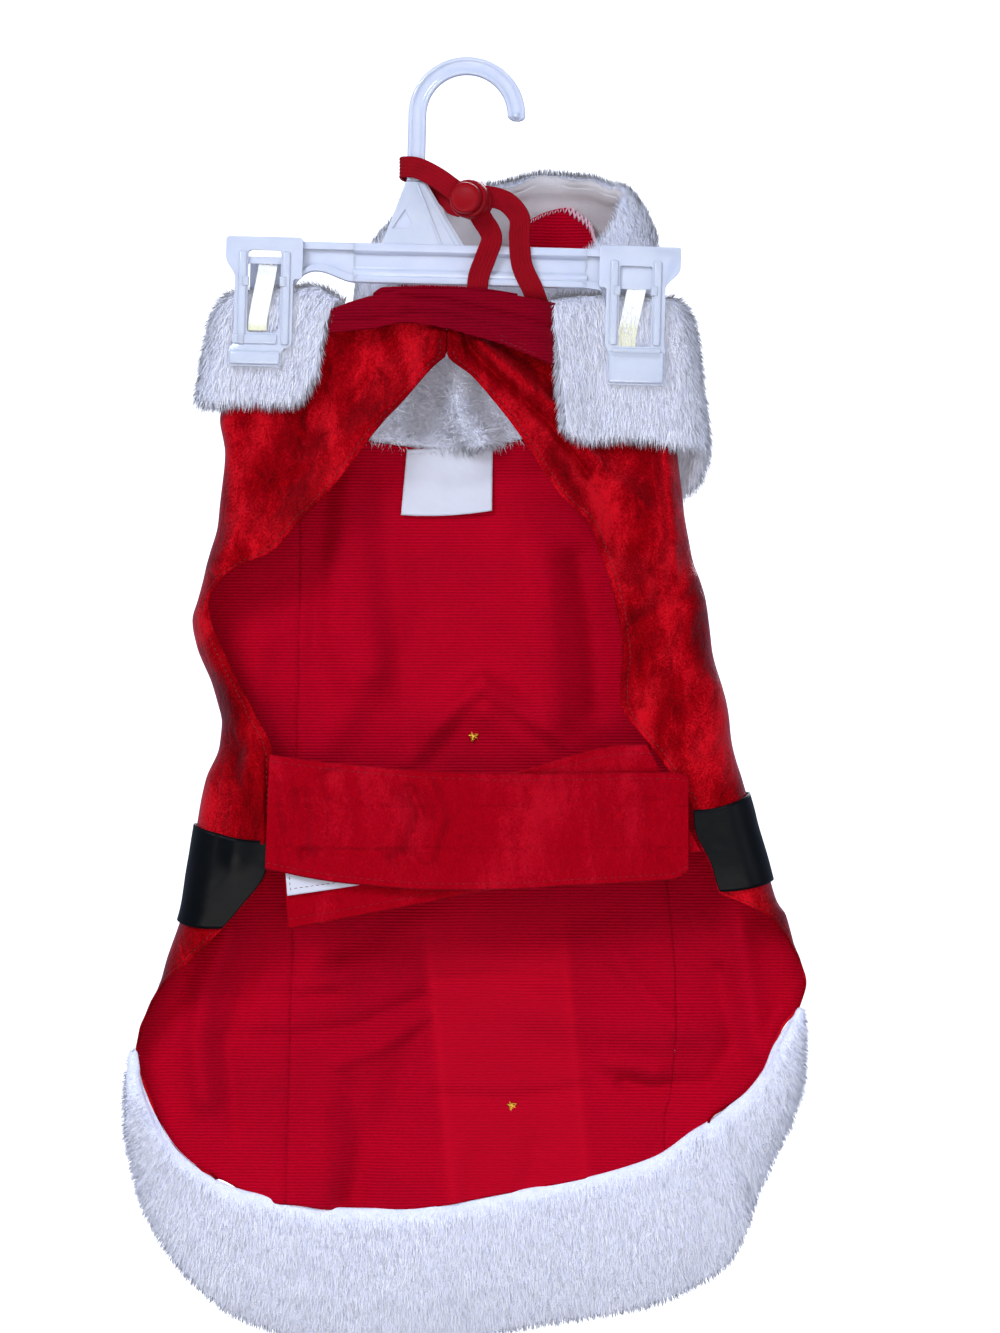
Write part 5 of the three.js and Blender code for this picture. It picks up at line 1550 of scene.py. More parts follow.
@dataclass
class Placket:
    """The plush strip down the outside of the back, and its two buttons."""

    shape: CoatShape
    plush: Plush
    pile: float = 3.0
    ease: float = 2.2
    button_radius: float = 7.5

    def middle(self, u: Array, z: Array) -> Array:
        """Points of the strip's middle surface."""
        x = self.shape.centre_line(z) + u * PLACKET_HALF
        y = self.shape.back_y(x, z) + CLOTH / 2 + GAP + self.ease + self.pile / 2
        return np.stack([x, y, z], axis=-1)

    def build(self) -> None:
        """Builds the strip and the buttons."""
        u, v = np.meshgrid(steps(36, -1), steps(150))
        low = self.shape.hem(self.shape.centre_line(-495.0) + u * PLACKET_HALF)[..., 0] + 1.5
        high = self.shape.neckline(self.shape.centre_at_neck + u * PLACKET_HALF)[..., 0] - 2
        grid = self.middle(u, lerp(high, low, v))
        half = np.full(grid.shape[:2], self.pile / 2) * taper(150, 0.01, 0.5)[:, None]
        self.plush.make("coat_placket", grid, half, "placket", seed=29, lump=0.25, comb_down=1.0,
                        bare_side=-1, bare_from=-0.3, held="hung")
        self.button("upper", -294.0)
        self.button("lower", -459.5)

    def button(self, name: str, z: float) -> None:
        """A domed button with a rim, its back towards the strip.

        Args:
            name: upper or lower.
            z: its height.
        """
        spot = self.middle(np.array(0.0), np.array(z)) + np.array([0, self.pile / 2 + 0.8, 0])
        rim = ((1.2, 0), (0.3, 0.5), (0, 1.2), (0.2, 1.9), (0.7, 2.3), (1.1, 2.1), (1.6, 2.4), (3, 3.2), (5, 3.8))
        bm = lathe([(0, 0), *((self.button_radius - inset, h) for inset, h in rim), (0, 4.0)], 48)
        bmesh.ops.transform(bm, verts=bm.verts, matrix=Matrix.Translation(Vector(spot)) @ Matrix.Rotation(
            -math.pi / 2, 4, "X"))
        piece(f"button_dome_{name}", body_mesh(f"button_dome_{name}", bm), [self.plush.finishes.brass], "button",
              [f"button_{name}"])


@dataclass
class Belt:
    """The black satin belt round the outside of the coat."""

    shape: CoatShape
    finishes: Finishes
    thick: float = 1.0
    ease: float = 0.4

    def build(self) -> None:
        """Builds the belt, which climbs over the placket."""
        way, v = np.meshgrid(steps(340, 0.006, 2.994), steps(26))
        edges = Curve(BELT)(way)
        grid = self.shape.round_coat(way, lerp(edges[..., 0], edges[..., 1], v))
        lie = CLOTH / 2 + GAP + self.ease + self.thick / 2
        over = lie + GAP + 2.2 + 3.0
        off = np.abs(grid[..., 0] - self.shape.centre_line(grid[..., 2])) - PLACKET_HALF
        push = np.where(grid[..., 1] > 8, lerp(over, lie, smooth((off - 5) / 9)), lie)
        rumple = 0.35 * fluff(grid, 11, 61) + 0.3 * bell(v - 0.5, 0.16) * np.sin(way * 17)
        grid = grid + normals(grid) * (push + np.abs(rumple) * 0.4)[..., None]
        cloth("coat_belt", grid, self.thick, [self.finishes.satin], "satin", ["belt"],
              ["coat_back", "coat_side_left", "coat_side_right"])


@dataclass
class Straps:
    """The two belly straps and the hook patch on the under one."""

    finishes: Finishes
    thick: float = 1.4

    def grid(self, table: Table, columns: int, rows: int = 40,
             part: Sequence[float] = (0, 1, 0, 1)) -> Grid:
        """A strap's middle surface, or a part of it.

        Args:
            table: the strap's stations.
            columns: how many points along it.
            rows: how many points across.
            part: where the part starts and ends along the strap, and across it.

        Returns:
            The grid, its first row at the upper edge.
        """
        u, v = np.meshgrid(steps(columns, *part[:2]), steps(rows, *part[2:]))
        tx, tz, bx, bz, y = np.moveaxis(evenly(table, u), -1, 0)
        return np.stack([lerp(tx, bx, v), y, lerp(tz, bz, v)], axis=-1)

    def build(self) -> None:
        """Builds the straps and the patch, with their stitches."""
        over = self.grid(STRAP_OVER, 170, 56)
        x, z = over[..., 0], over[..., 2]
        v = steps(56)[:, None]
        seam = bell(z + 324.8, 0.6) + bell(z + 343.2, 0.6)
        raised = smooth((x + 77) / 3) * smooth((-20 - x) / 3) * smooth((z + 345) / 3) * smooth((-320 - z) / 3)
        roll = bell(v - 0.03, 0.03) + bell(v - 0.97, 0.03)
        over[..., 1] += fold_rise(STRAP_DENTS, x, z) + 0.55 * seam - 1.1 * raised - 0.3 * roll \
            + 0.4 * fluff(over, 13, 71) - 1.2
        self.strap("strap_over", over, "belly_strap_over", "coat_side_left")
        under = self.grid(STRAP_UNDER, 150)
        under[..., 1] += 0.3 * fluff(under, 12, 77)
        self.strap("strap_under", under, "belly_strap_under", "coat_side_right")
        forward = self.thick / 2 + 0.1 + SEAM + 0.5
        patch = self.grid(STRAP_UNDER, 60, part=(0.02, 0.3, 0.1, 0.74))
        patch[..., 1] -= forward
        cloth("strap_hooks", patch, 0.8, [self.finishes.tape], "tape", ["hook_patch"], ["strap_under"])
        inset = self.grid(STRAP_UNDER, 60, part=(0.035, 0.285, 0.15, 0.69))
        ring = np.concatenate([inset[0], inset[:, -1], inset[-1, ::-1], inset[::-1, 0]])
        ring[:, 1] -= forward + 0.4
        stitches("hooks_stitch", ring, BELLYWARD, self.finishes.red_thread, "tape", 2.4, (0.9, 0.16))

    def strap(self, name: str, grid: Grid, node: str, rests_on: str) -> None:
        """One strap with stitches near its edges.

        Args:
            name: its name.
            grid: its middle surface.
            node: the CAD node it stands for.
            rests_on: what it is sewn to.
        """
        cloth(name, grid, self.thick, [self.finishes.strap], "velvet", [node], [rests_on])
        for word, row in (("top", 3), ("low", grid.shape[0] - 4)):
            stitches(f"{name}_stitch_{word}", grid[row] + BELLYWARD * self.thick / 2, BELLYWARD,
                     self.finishes.red_thread, "velvet", 3.0, (0.9, 0.14))


@dataclass
class NeckTab:
    """The throat closure: two layers of folded cloth between the lapels."""

    finishes: Finishes

    def layer(self, name: str, table: Table, size: tuple[int, float, float, int],
              folds: Sequence[tuple], rests_on: str) -> Grid:
        """One layer of the tab.

        Args:
            name: its name.
            table: its stations.
            size: its columns, its thickness, how much it is rumpled and by which noise.
            folds: its pleats.
            rests_on: what it is sewn to.

        Returns:
            Its middle surface.
        """
        columns, thick, rumple, seed = size
        x, top, bottom, y = (np.tile(side, (30, 1)) for side in evenly(table, steps(columns)).T)
        grid = np.stack([x, y, lerp(top, bottom, steps(30)[:, None])], axis=-1)
        grid[..., 1] += fold_rise(folds, x, grid[..., 2]) + rumple * fluff(grid, 8, seed)
        cloth(f"tab_{name}", grid, thick, [self.finishes.tab], "velvet_back", [f"neck_tab_{name}"], [rests_on],
              "folded")
        return grid

    def build(self) -> None:
        """Builds the two layers and their stitches."""
        over = self.layer("over", TAB_OVER, (120, 1.7, 0.25, 83), TAB_PLEATS, "coat_collar")
        self.layer("under", TAB_UNDER, (90, 1.2, 0.2, 87), (), "tab_over")
        points = over.reshape(-1, 3)
        for k, ends in enumerate(TAB_ROWS):
            near = [points[np.argmin(np.hypot(points[:, 0] - x, points[:, 2] - z))][1] - 0.85 for x, z in ends]
            stitches(f"tab_stitch_{k}", np.array([(x, y, z) for (x, z), y in zip(ends, near)]), BELLYWARD,
                     self.finishes.red_thread, "velvet_back", 2.2, (0.8, 0.2))


# ---------------- the hat
# Rings of the brim and the cone: a ring's centre, its half width along x and the climb of its
# right end, then the step from its centre to its rear point.
BRIM_RINGS = (
    (13, 43, -68, 52, 2, 25, 14, 20), (15, 46, -73, 57, 1, 24, 16, 20), (17, 50, -82, 60, 1, 23, 18, 17),
    (17, 54, -92, 57, 0, 21, 19, 13),
)
CONE_RINGS = (
    (17, 54.7, -93.7, 56, 0, 20.5, 19.4, 12.7), (15, 56, -104, 50, 0, 15, 18.4, 10),
    (12, 57, -125, 43, 0, 6, 17.5, 6), (6, 54, -165, 37, 0, 0, 16, 2), (0, 52, -205, 29, 0, 0, 14, 0),
    (-3, 50, -240, 19, 0, 0, 11, 0), (-4, 49, -264, 8, 0, 0, 7, 0),
)
# x and z of the crest of the cone's edge inside the mouth.
EDGE_CREST = ((25, -62), (30, -58.4), (37, -55.2), (44.4, -53.6), (50.5, -57), (55.5, -62.2), (57.5, -70))
# The elastic's routes: a point, then the direction of the band's width there.
LEFT_STRAND = (
    (2.5, -18.2, -58.6, 0.88, 0, 0.47), (6.2, -17, -64.6, 0.86, 0, 0.5), (10.5, -15, -72.5, 0.97, 0, -0.1),
    (8, -12.8, -81, 0.95, 0, 0.3), (5, -12, -89, 1, 0, 0.15), (4, -11.9, -95.8, 1, 0, 0), (3, -8, -100.8, 1, 0, 0),
    (0, 4, -101.5, 1, 0, 0), (-5, 17, -101, 1, 0, 0), (-8, 26.4, -100.5, 1, 0, 0),
)
RIGHT_STRAND = (
    (4, -18.4, -54.2, 0, 0.1, 1), (11.4, -17.5, -55.2, 0.1, 0.1, 1), (17.5, -16, -57.5, 0.35, 0, 0.94),
    (22.8, -14.5, -64, 0.9, 0, 0.45), (22.8, -13, -73, 1, 0, 0), (24, -12, -85, 0.97, 0, 0.2),
    (28.5, -12.3, -95.2, 0.9, 0, 0.3), (31, -8, -101.2, 1, 0, 0.1), (33, 4, -102, 1, 0, 0), (36, 18.5, -101, 1, 0, 0),
    (39, 32.6, -98.5, 1, 0, 0),
)
STEM_LOOP = (
    (-2.5, -19.4, -54.6, 0.35, 0, 0.93), (-7.4, -18.6, -51, 0.35, 0, 0.93), (-14, -14, -46, 0.3, 0, 0.95),
    (-22.6, -10.6, -41.6, 0.1, 0, 1), (-28.2, -9, -41, 0, 0, 1), (-29.9, -6, -41.2, 0, 0, 1),
    (-28.2, -2.8, -42.2, 0, 0, 1), (-22.6, -1.2, -44, 0.05, 0, 1), (-14.5, -1.5, -49.5, 0.3, 0, 0.95),
    (-9.8, -7, -54, 0.3, 0, 0.95), (-7.2, -12.5, -57.5, 0.25, 0, 0.97), (-2.5, -15, -59.5, 0.25, 0, 0.97),
)

@dataclass
class Hat:
    """The hat: a velvet cone in a plush brim, with a pompom, hung by its elastic."""

    finishes: Finishes
    plush: Plush
    sides: int = 150
    brim_pile: float = 8.0
    pompom_at: tuple = (-4.0, 48.8, -282.6)
    pompom_radius: float = 19.0
    far_rise: float = 5.5  # how far the brim puffs up at the back
    near_drop: float = 38.0  # how much deeper it is at the front, where it hangs down

    def rings(self, table: Table, count: int) -> Grid:
        """Rows of rings, each closing on itself, from a table of them."""
        x, y, z, wide, climb, step_x, step_y, step_z = evenly(table, steps(count)).T[..., None]
        turn = steps(self.sides + 1, 0, 2 * math.pi)[None]
        cos, sin = np.cos(turn), np.sin(turn)
        puff = self.far_rise * np.clip((z + 125) / 40, 0, 1) * smooth((sin + 0.4) / 1.4)
        return np.stack([x + cos * wide + sin * step_x, y + sin * step_y,
                         z + cos * climb + sin * step_z + puff], axis=-1)

    def build(self) -> None:
        """Builds the cone, the brim and the pompom."""
        self.cone()
        self.turned_edge()
        self.brim()
        self.pompom()

    def cone(self) -> None:
        """The velvet cone, with long soft folds and a sag."""
        grid = self.rings(CONE_RINGS, 150)
        turn, v = steps(self.sides + 1, 0, 2 * math.pi)[None], steps(150)[:, None]
        folds = np.sin(turn * 5 + v * 3) * 0.8 + np.sin(turn * 8 - v * 5 + 1) * 0.6 + np.sin(turn * 2 + v * 6) * 1.0
        grid = grid + normals(grid, round_columns=True) * (folds * smooth(v * 6) * (1.1 - 0.6 * v)
                                                           + np.sin(v * 60 + turn * 2) * 0.3)[..., None]
        grid = np.concatenate([grid, np.broadcast_to(grid[-1].mean(axis=0), grid[-1:].shape)])
        cloth("hat_velvet", grid, CLOTH, [self.finishes.velvet, self.finishes.knit], "velvet", ["hat_cone"],
              ["hat_plush"], turned=Face.TURNED, seams=Seams.TUBE)

    def turned_edge(self) -> None:
        """The cone's overlocked edge, which stands up inside the mouth at the far side."""
        crest, v = evenly(EDGE_CREST, steps(70)), steps(40)[:, None]
        x = lerp(crest[:, 0], steps(70, 18, 60), v)
        y = 52.0 + 9.0 * np.sin(steps(70, 0, math.pi)) * (1 - 0.1 * v) + 2.4 * v + np.sin(x / 3.1 + v * 2) * 0.35
        grid = np.stack([x, y, lerp(crest[:, 1], -96.0, v)], axis=-1)
        cloth("hat_edge", grid, 0.9, [self.finishes.knit], "velvet_back", (), ["hat_plush"], "folded")
        path, length = grid[0], run(grid[0])
        bm = bmesh.new()
        for k, at in enumerate(np.arange(0.6, length[-1], 1.3)):
            place, down = picked(at, length, path), picked(at, length, unit(grid[3] - path))
            ahead = unit(picked(at, length, np.gradient(path, axis=0)))
            full = 0.4 + 0.6 * smooth((at / length[-1] - 0.42) / 0.15)
            bead(bm, place + down * 1.1 + np.array([0, -0.8, 0]), down * 1.0 + ahead * (0.35 if k % 2 else -0.35),
                 (2.7 * full, 0.55 * full, 0.55 * full))
        piece("hat_overlock", body_mesh("hat_overlock", bm, sharp=180), [self.finishes.pale_thread], "velvet_back")

    def brim(self) -> None:
        """The plush brim: pile outside, its cloth backing inside."""
        rings = self.rings(BRIM_RINGS, 26)
        turn, v = steps(self.sides + 1, 0, 2 * math.pi), steps(26)[:, None, None]
        near = smooth((-np.sin(turn) + 0.35) / 1.1)[None, :, None]
        rings = rings + near * np.concatenate([0 * v, -3 * v, -9 - self.near_drop * v], axis=-1)
        grid = np.swapaxes(rings, 0, 1)[:, ::-1]
        turn, v = turn[:, None], steps(26)[None]
        far = smooth((np.sin(turn) + 0.2) / 1.0)
        grid = grid + normals(grid, round_rows=True) * (far * (np.sin(turn * 7) * 0.9 + np.sin(turn * 12 + v * 3)
                                                               * 0.6) * v)[..., None]
        half = np.full(grid.shape[:2], self.brim_pile / 2) * np.interp(v, [0, 0.2, 0.8, 1], [0.6, 1, 1, 0.7])
        self.plush.make("hat_plush", grid, half, "hat_brim", round_rows=True, bare_side=1, seed=41,
                        comb_down=-0.2, rests_on=["elastic_band_left"])

    def pompom(self) -> None:
        """The pompom, round and fluffy."""
        bm = bmesh.new()
        bmesh.ops.create_icosphere(bm, subdivisions=5, radius=self.pompom_radius - 2.5)
        for vert in bm.verts:
            vert.co *= 1 + 0.06 * noise.noise(vert.co / 6) + 0.03 * noise.noise(vert.co / 2.4)
        bmesh.ops.translate(bm, verts=bm.verts, vec=self.pompom_at)
        mesh = body_mesh("hat_pompom_body", bm, sharp=180)
        count = len(mesh.vertices)
        point_values(mesh, {"pile": np.ones(count), "comb": np.tile([0, 0, -0.25], (count, 1))})
        obj = piece("hat_pompom_body", mesh, [self.finishes.ground], "plush", ["hat_pompom"])
        Pile(length=6, width=0.8, per_mm2=2.4, stand=0.7, stray=0.75, seed=77).grow(obj, self.finishes.fibre, "plush")
        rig.padded(obj, fill=0.9)


@dataclass
class Elastic:
    """The flat braided elastic: two strands from the hat and a loop round the hanger's stem."""

    finishes: Finishes
    cut_width: float = 10.0
    stretch: float = 1.06
    width: float = 9.4  # once stretched
    thick: float = 1.2
    ribs: int = 6

    def section(self) -> Array:
        """The band's section: its rubber cords make low ribs on both faces."""
        u = steps(self.ribs * 6 + 1, -0.5, 0.5)
        swell = self.thick / 2 - 0.24 + 0.24 * np.abs(np.sin(math.pi * self.ribs * (u + 0.5)))
        swell *= np.minimum(1, 0.35 + 12 * np.minimum(u + 0.5, 0.5 - u))
        top = np.stack([u * self.width, swell], axis=-1)
        return np.concatenate([top, top[::-1] * (1, -1), top[:1]])

    def build(self) -> None:
        """Builds the three lengths."""
        for name, route, count, rests_on in (("left", LEFT_STRAND, 120, "hat_plush"),
                                             ("right", RIGHT_STRAND, 140, "hat_plush"),
                                             ("loop", STEM_LOOP, 180, "hanger_stem")):
            table = np.array(route)
            points = spline(table[:, :3], count)
            across = picked(steps(count, 0, len(table) - 1), np.arange(len(table)), table[:, 3:])
            mesh = grid_mesh(f"elastic_band_{name}", swept(points, across, self.section()), seams=Seams.CAPPED)
            obj = piece(mesh.name, mesh, [self.finishes.elastic], "elastic", [f"elastic_{name}"])
            length = float(np.linalg.norm(np.diff(points, axis=0), axis=1).sum()) * MM
            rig.sheet(obj, flat=(self.cut_width * MM, length / self.stretch), held="stretched",
                     rests_on=[rests_on])


def lathe(profile: Outline, count: int) -> Shape:
    """A closed shape turned about Z.

    Args:
        profile: (radius, height) pairs from pole to pole.
        count: how many steps round.

    Returns:
        The shape.
    """
    bm = bmesh.new()
    verts = [bm.verts.new((r, 0, h)) for r, h in profile]
    edges = [bm.edges.new(pair) for pair in zip(verts, verts[1:])]
    bmesh.ops.spin(bm, geom=verts + edges, cent=(0, 0, 0), axis=(0, 0, 1), angle=math.tau, steps=count,
                   use_merge=True, use_duplicate=False)
    bmesh.ops.remove_doubles(bm, verts=bm.verts, dist=1e-4)
    bmesh.ops.recalc_face_normals(bm, faces=bm.faces)
    return bm


@dataclass
class CordLock:
    """The red cord lock: a ribbed barrel and its push button."""

    finishes: Finishes
    at: tuple = (1.7, -18.5, -56.4)
    axis: tuple = (-0.3, -0.95, 0.02)
    radius: float = 8.6
    length: float = 13.0
    button_radius: float = 7.4
    button_length: float = 4.2

    def build(self) -> None:
        """Builds the barrel and the button."""
        r, h = self.radius, self.length / 2
        self.drum("barrel", [
            (0, -h), (r - 1.6, -h), (r - 0.5, -h + 0.4), (r, -h + 1.4), (r, -1.6), (r - 0.5, -1.1),
            (r - 0.5, 0.4), (r, 0.9), (r, h - 1.4), (r - 0.4, h - 0.5), (r - 1.3, h - 0.1), (r - 1.7, h - 0.3),
            (r - 1.9, h - 2), (0, h - 2)])
        b, base, top = self.button_radius - 0.4, h - 1.8, h + 0.3 + self.button_length
        self.drum("button", [
            (0, base), (b, base), (b, top - 1.6), (b - 0.35, top - 0.7), (b - 1.1, top - 0.25),
            (b - 1.7, top - 0.32), (b - 3.2, top - 0.12), (0, top)])

    def drum(self, name: str, profile: Outline) -> None:
        """A turned part about the lock's axis."""
        bm = lathe(profile, 64)
        turn = Vector(self.axis).to_track_quat("Z", "Y").to_matrix().to_4x4()
        bmesh.ops.transform(bm, verts=bm.verts, matrix=Matrix.Translation(self.at) @ turn)
        piece(f"cord_lock_{name}", body_mesh(f"cord_lock_{name}", bm), [self.finishes.lock], "cord_lock",
              [f"toggle_{name}"])


# ---------------- the hanger
def extruded(outline: Outline, depth: float, turn: Matrix, hole: Outline = (), corner: float = 0.0,
             edge: float = 0.5) -> Shape:
    """A plate with rounded corners and softened edges.

    Args:
        outline: its points in x and y.
        depth: how far it is extruded along z.
        turn: how it is then turned and moved.
        hole: the points of an opening.
        corner: the radius of its corners along z.
        edge: the radius of its face edges.

    Returns:
        The plate.
    """
    bm = bmesh.new()
    rim = []
    for ring in (outline, hole):
        verts = [bm.verts.new((x, y, 0)) for x, y in ring]
        rim += [bm.edges.new(pair) for pair in zip(verts, verts[1:] + verts[:1])]
    bmesh.ops.triangle_fill(bm, use_beauty=True, edges=rim)
    bmesh.ops.dissolve_limit(bm, angle_limit=0.01, verts=bm.verts, edges=bm.edges)
    top = bmesh.ops.extrude_face_region(bm, geom=bm.faces[:])["geom"]
    bmesh.ops.translate(bm, verts=[v for v in top if isinstance(v, bmesh.types.BMVert)], vec=(0, 0, depth))
    bmesh.ops.recalc_face_normals(bm, faces=bm.faces)
    for radius, segments, least, upright_only in ((corner, 4, 0.3, True), (edge, 3, 0.6, False)):
        if radius:
            sharp = [e for e in bm.edges if e.calc_face_angle(0) > least
                     and (not upright_only or abs((e.verts[0].co - e.verts[1].co).normalized().z) > 0.99)]
            bmesh.ops.bevel(bm, geom=sharp, offset=radius, offset_type="OFFSET", segments=segments, profile=0.5,
                            affect="EDGES", material=-1, clamp_overlap=True)
    bmesh.ops.transform(bm, verts=bm.verts, matrix=turn)
    return bm


def merged(parts: Sequence[Shape]) -> Shape:
    """Several shapes in one, which are freed."""
    whole = bmesh.new()
    for part in parts:
        scrap = bpy.data.meshes.new("scrap")
        part.to_mesh(scrap)
        part.free()
        whole.from_mesh(scrap)
        bpy.data.meshes.remove(scrap)
    return whole


def upright(outline: Outline, depth: float, front: float, hole: Outline = (), corner: float = 0.0,
            edge: float = 0.3) -> Shape:
    """A plate that stands up, its outline in x and z, running back from its front."""
    return extruded(outline, depth, Matrix(((1, 0, 0, 0), (0, 0, 1, front), (0, 1, 0, 0), (0, 0, 0, 1))), hole,
                    corner, edge)


def block(x0: float, x1: float, y0: float, y1: float, z0: float, z1: float, edge: float = 0.4) -> Shape:
    """A softened block between two corners."""
    return upright([(x0, z0), (x1, z0), (x1, z1), (x0, z1)], y1 - y0, y0, edge=edge)


@dataclass(frozen=True)
class ClipSizes:
    """A clip's front jaw by the x and z of its parts."""

    name: str
    head: tuple[float, float]  # x of its outer and inner ends
    leg: tuple[float, float]
    window: tuple[float, float, float, float]  # left, right, top, end
    jaw: tuple[float, float, float, float]
    lean: float  # of the spring's leg
    screen: float  # z down to which a panel covers the spring
    strip_end: float


@dataclass
class ClipHanger:
    """The moulded two-clip hanger: hook, ribbed bar with its gusset, and two spring clips."""

    finishes: Finishes
    hook_radius: float = 22.0
    hook_drop: float = 18.0
    stem_bottom: float = -47.7
    bar_left: float = -70.7
    bar_right: float = 60.2
    bar_top: float = -76.0
    bar_bottom: float = -93.4
    bar_front: float = -11.0
    bar_rear: float = -1.0
    clip_front: float = -15.0
    clip_plate: float = -10.5
    clip_top: float = -74.6
    clips: tuple = (
        ClipSizes("left", (-105, -71), (-100.8, -75), (-95, -80.5, -80.5, -117), (-103, -79.5, -124, -132),
                  -2.6, -86.6, -116),
        ClipSizes("right", (96.6, 60.5), (90, 63.8), (84, 69.6, -83.3, -119), (90.5, 65, -120, -136),
                  -3.4, -93.6, -119),
    )

    def build(self) -> None:
        """Builds every part of the hanger."""
        self.hook()
        self.bar()
        for clip in self.clips:
            self.front_jaw(clip)
            self.rear_jaw(clip)
            self.spring(clip)

    def part(self, name: str, parts: Sequence[Shape], node: str) -> None:
        """One plastic part, of shapes moulded together."""
        piece(name, body_mesh(name, merged(parts), True), [self.finishes.hanger], "hanger", [node])

    def strip(self, name: str, grid: Grid, finish: Material, slot: str, node: str, sharp: float) -> None:
        """A closed piece from its sections, with creases sharper than an angle kept."""
        mesh = grid_mesh(name, grid, seams=Seams.CAPPED, on_hanger=True)
        mesh.set_sharp_from_angle(angle=math.radians(sharp))
        piece(name, mesh, [finish], slot, [node])

    def hook(self) -> None:
        """The hook: ribbed down both faces, with a ball at its tip."""
        r = self.hook_radius
        points = [(-r, 0, self.stem_bottom + k * (-32 - self.stem_bottom) / 8) for k in range(8)]
        points += [(r * math.cos(a), 0, r * math.sin(a) - self.hook_drop)
                   for a in steps(60, math.pi, -0.03 * math.pi)]
        path = spline(points, 110)
        path[:, 1] = -6.0
        quarter = [(2.1, 0.0), (2.1, 1.5), (2.35, 2.0), (2.9, 2.5), (2.95, 3.3), (2.5, 3.85), (1.5, 4.0), (0, 4.0)]
        loop = quarter + [(-u, v) for u, v in quarter[-2::-1]] + [(-u, -v) for u, v in quarter[1:]] \
            + [(u, -v) for u, v in quarter[-2:0:-1]]
        grid = swept(path, np.tile([0, 1.0, 0], (len(path), 1)), np.array(loop + loop[:1]))
        ends = taper(len(path), 0.03, 0.35)
        ends[:60] = 1.0
        grid = path[:, None] + (grid - path[:, None]) * ends[:, None, None]
        self.strip("hanger_stem", grid, self.finishes.hanger, "hanger", "hanger_hook", 50)
        bm = bmesh.new()
        bmesh.ops.create_icosphere(bm, subdivisions=3, radius=1.6,
                                   matrix=Matrix.Translation(path[-4] + (-0.2, -2.0, 0.4)))
        piece("hanger_tip", body_mesh("hanger_tip", bm, True, 180), [self.finishes.hanger], "hanger")

    def bar(self) -> None:
        """The bar: two flanges and a lower lip in front of a recessed web, under the gusset."""
        left, right, top, bottom = self.bar_left, self.bar_right, self.bar_top, self.bar_bottom
        front, rear, web = self.bar_front, self.bar_rear, 3.2
        profile = [(front, top), (rear, top), (rear, top - 3.5), (rear - web, top - 4.5),
                   (rear - web, bottom + 4.5), (rear, bottom + 3.5), (rear, bottom), (front, bottom),
                   (front, bottom + 2.6), (front + 1.6, bottom + 3.2), (front + 1.2, bottom + 4.4),
                   (front + 1.6, bottom + 5.4), (front + web, bottom + 6.4), (front + web - 0.4, -83.4),
                   (front + web, top - 4.8), (front + 1.0, top - 4.2), (front, top - 3.2)]
        start, stop = left + 22.0, right - 5.0
        along = Matrix(((0, 0, 1, start), (1, 0, 0, 0), (0, 1, 0, 0), (0, 0, 0, 1)))
        rail = extruded(profile, stop - start, along, edge=0.45)
        outline = [(-37, top - 2), (1.5, top - 2), (-17.4, -48), (-26.3, -48)]
        pocket = [(-26.4, -60.5), (-23.2, -66.6), (-24.6, -69), (-31.8, -69)]
        parts = [rail, upright(outline, 4.6, -7.6), upright(outline, 1.2, -8.6, pocket)]
        for foot, head, wide in ((-1.4, -18.9, 1.3), (-9.2, -21.4, 0.7)):
            parts.append(upright([(foot - wide, top - 1.6), (foot + wide, top - 1.6), (head + wide * 0.8, -48.6),
                                  (head - wide * 0.8, -48.6)], 1.4, -9.3))
        parts += self.arch(left - 4.6, start + 1.0, 4.6) + self.arch(right + 3.6, stop - 1.0, -0.6)
        self.part("hanger_rail", parts, "hanger_bar")

    def arch(self, head: float, end: float, rise: float) -> list[Shape]:
        """The bar's flange, web and lip where they run into a clip's head.

        Args:
            head: x at the head.
            end: x where the plain bar starts.
            rise: how far the lip climbs before it turns down to the leg.

        Returns:
            The parts.
        """
        top, bottom, front = self.bar_top, self.bar_bottom, self.bar_front
        way = math.copysign(1.0, head - end)
        low = [(lerp(end, head, k), bottom + rise * smooth(k * 1.6) - 7.5 * max(0.0, (k - 0.6) / 0.4) ** 2.5)
               for k in steps(13)]
        lip = low + [(x - way * 1.2, z + 3.2) for x, z in low[::-1]]
        return [upright(low + [(head, top - 0.6), (end, top - 0.6)], 6.0, front + 3.0),
                upright(lip, 3.6, front, edge=0.5),
                block(min(head, end), max(head, end), front, self.bar_rear, top - 3.4, top, 0.6)]

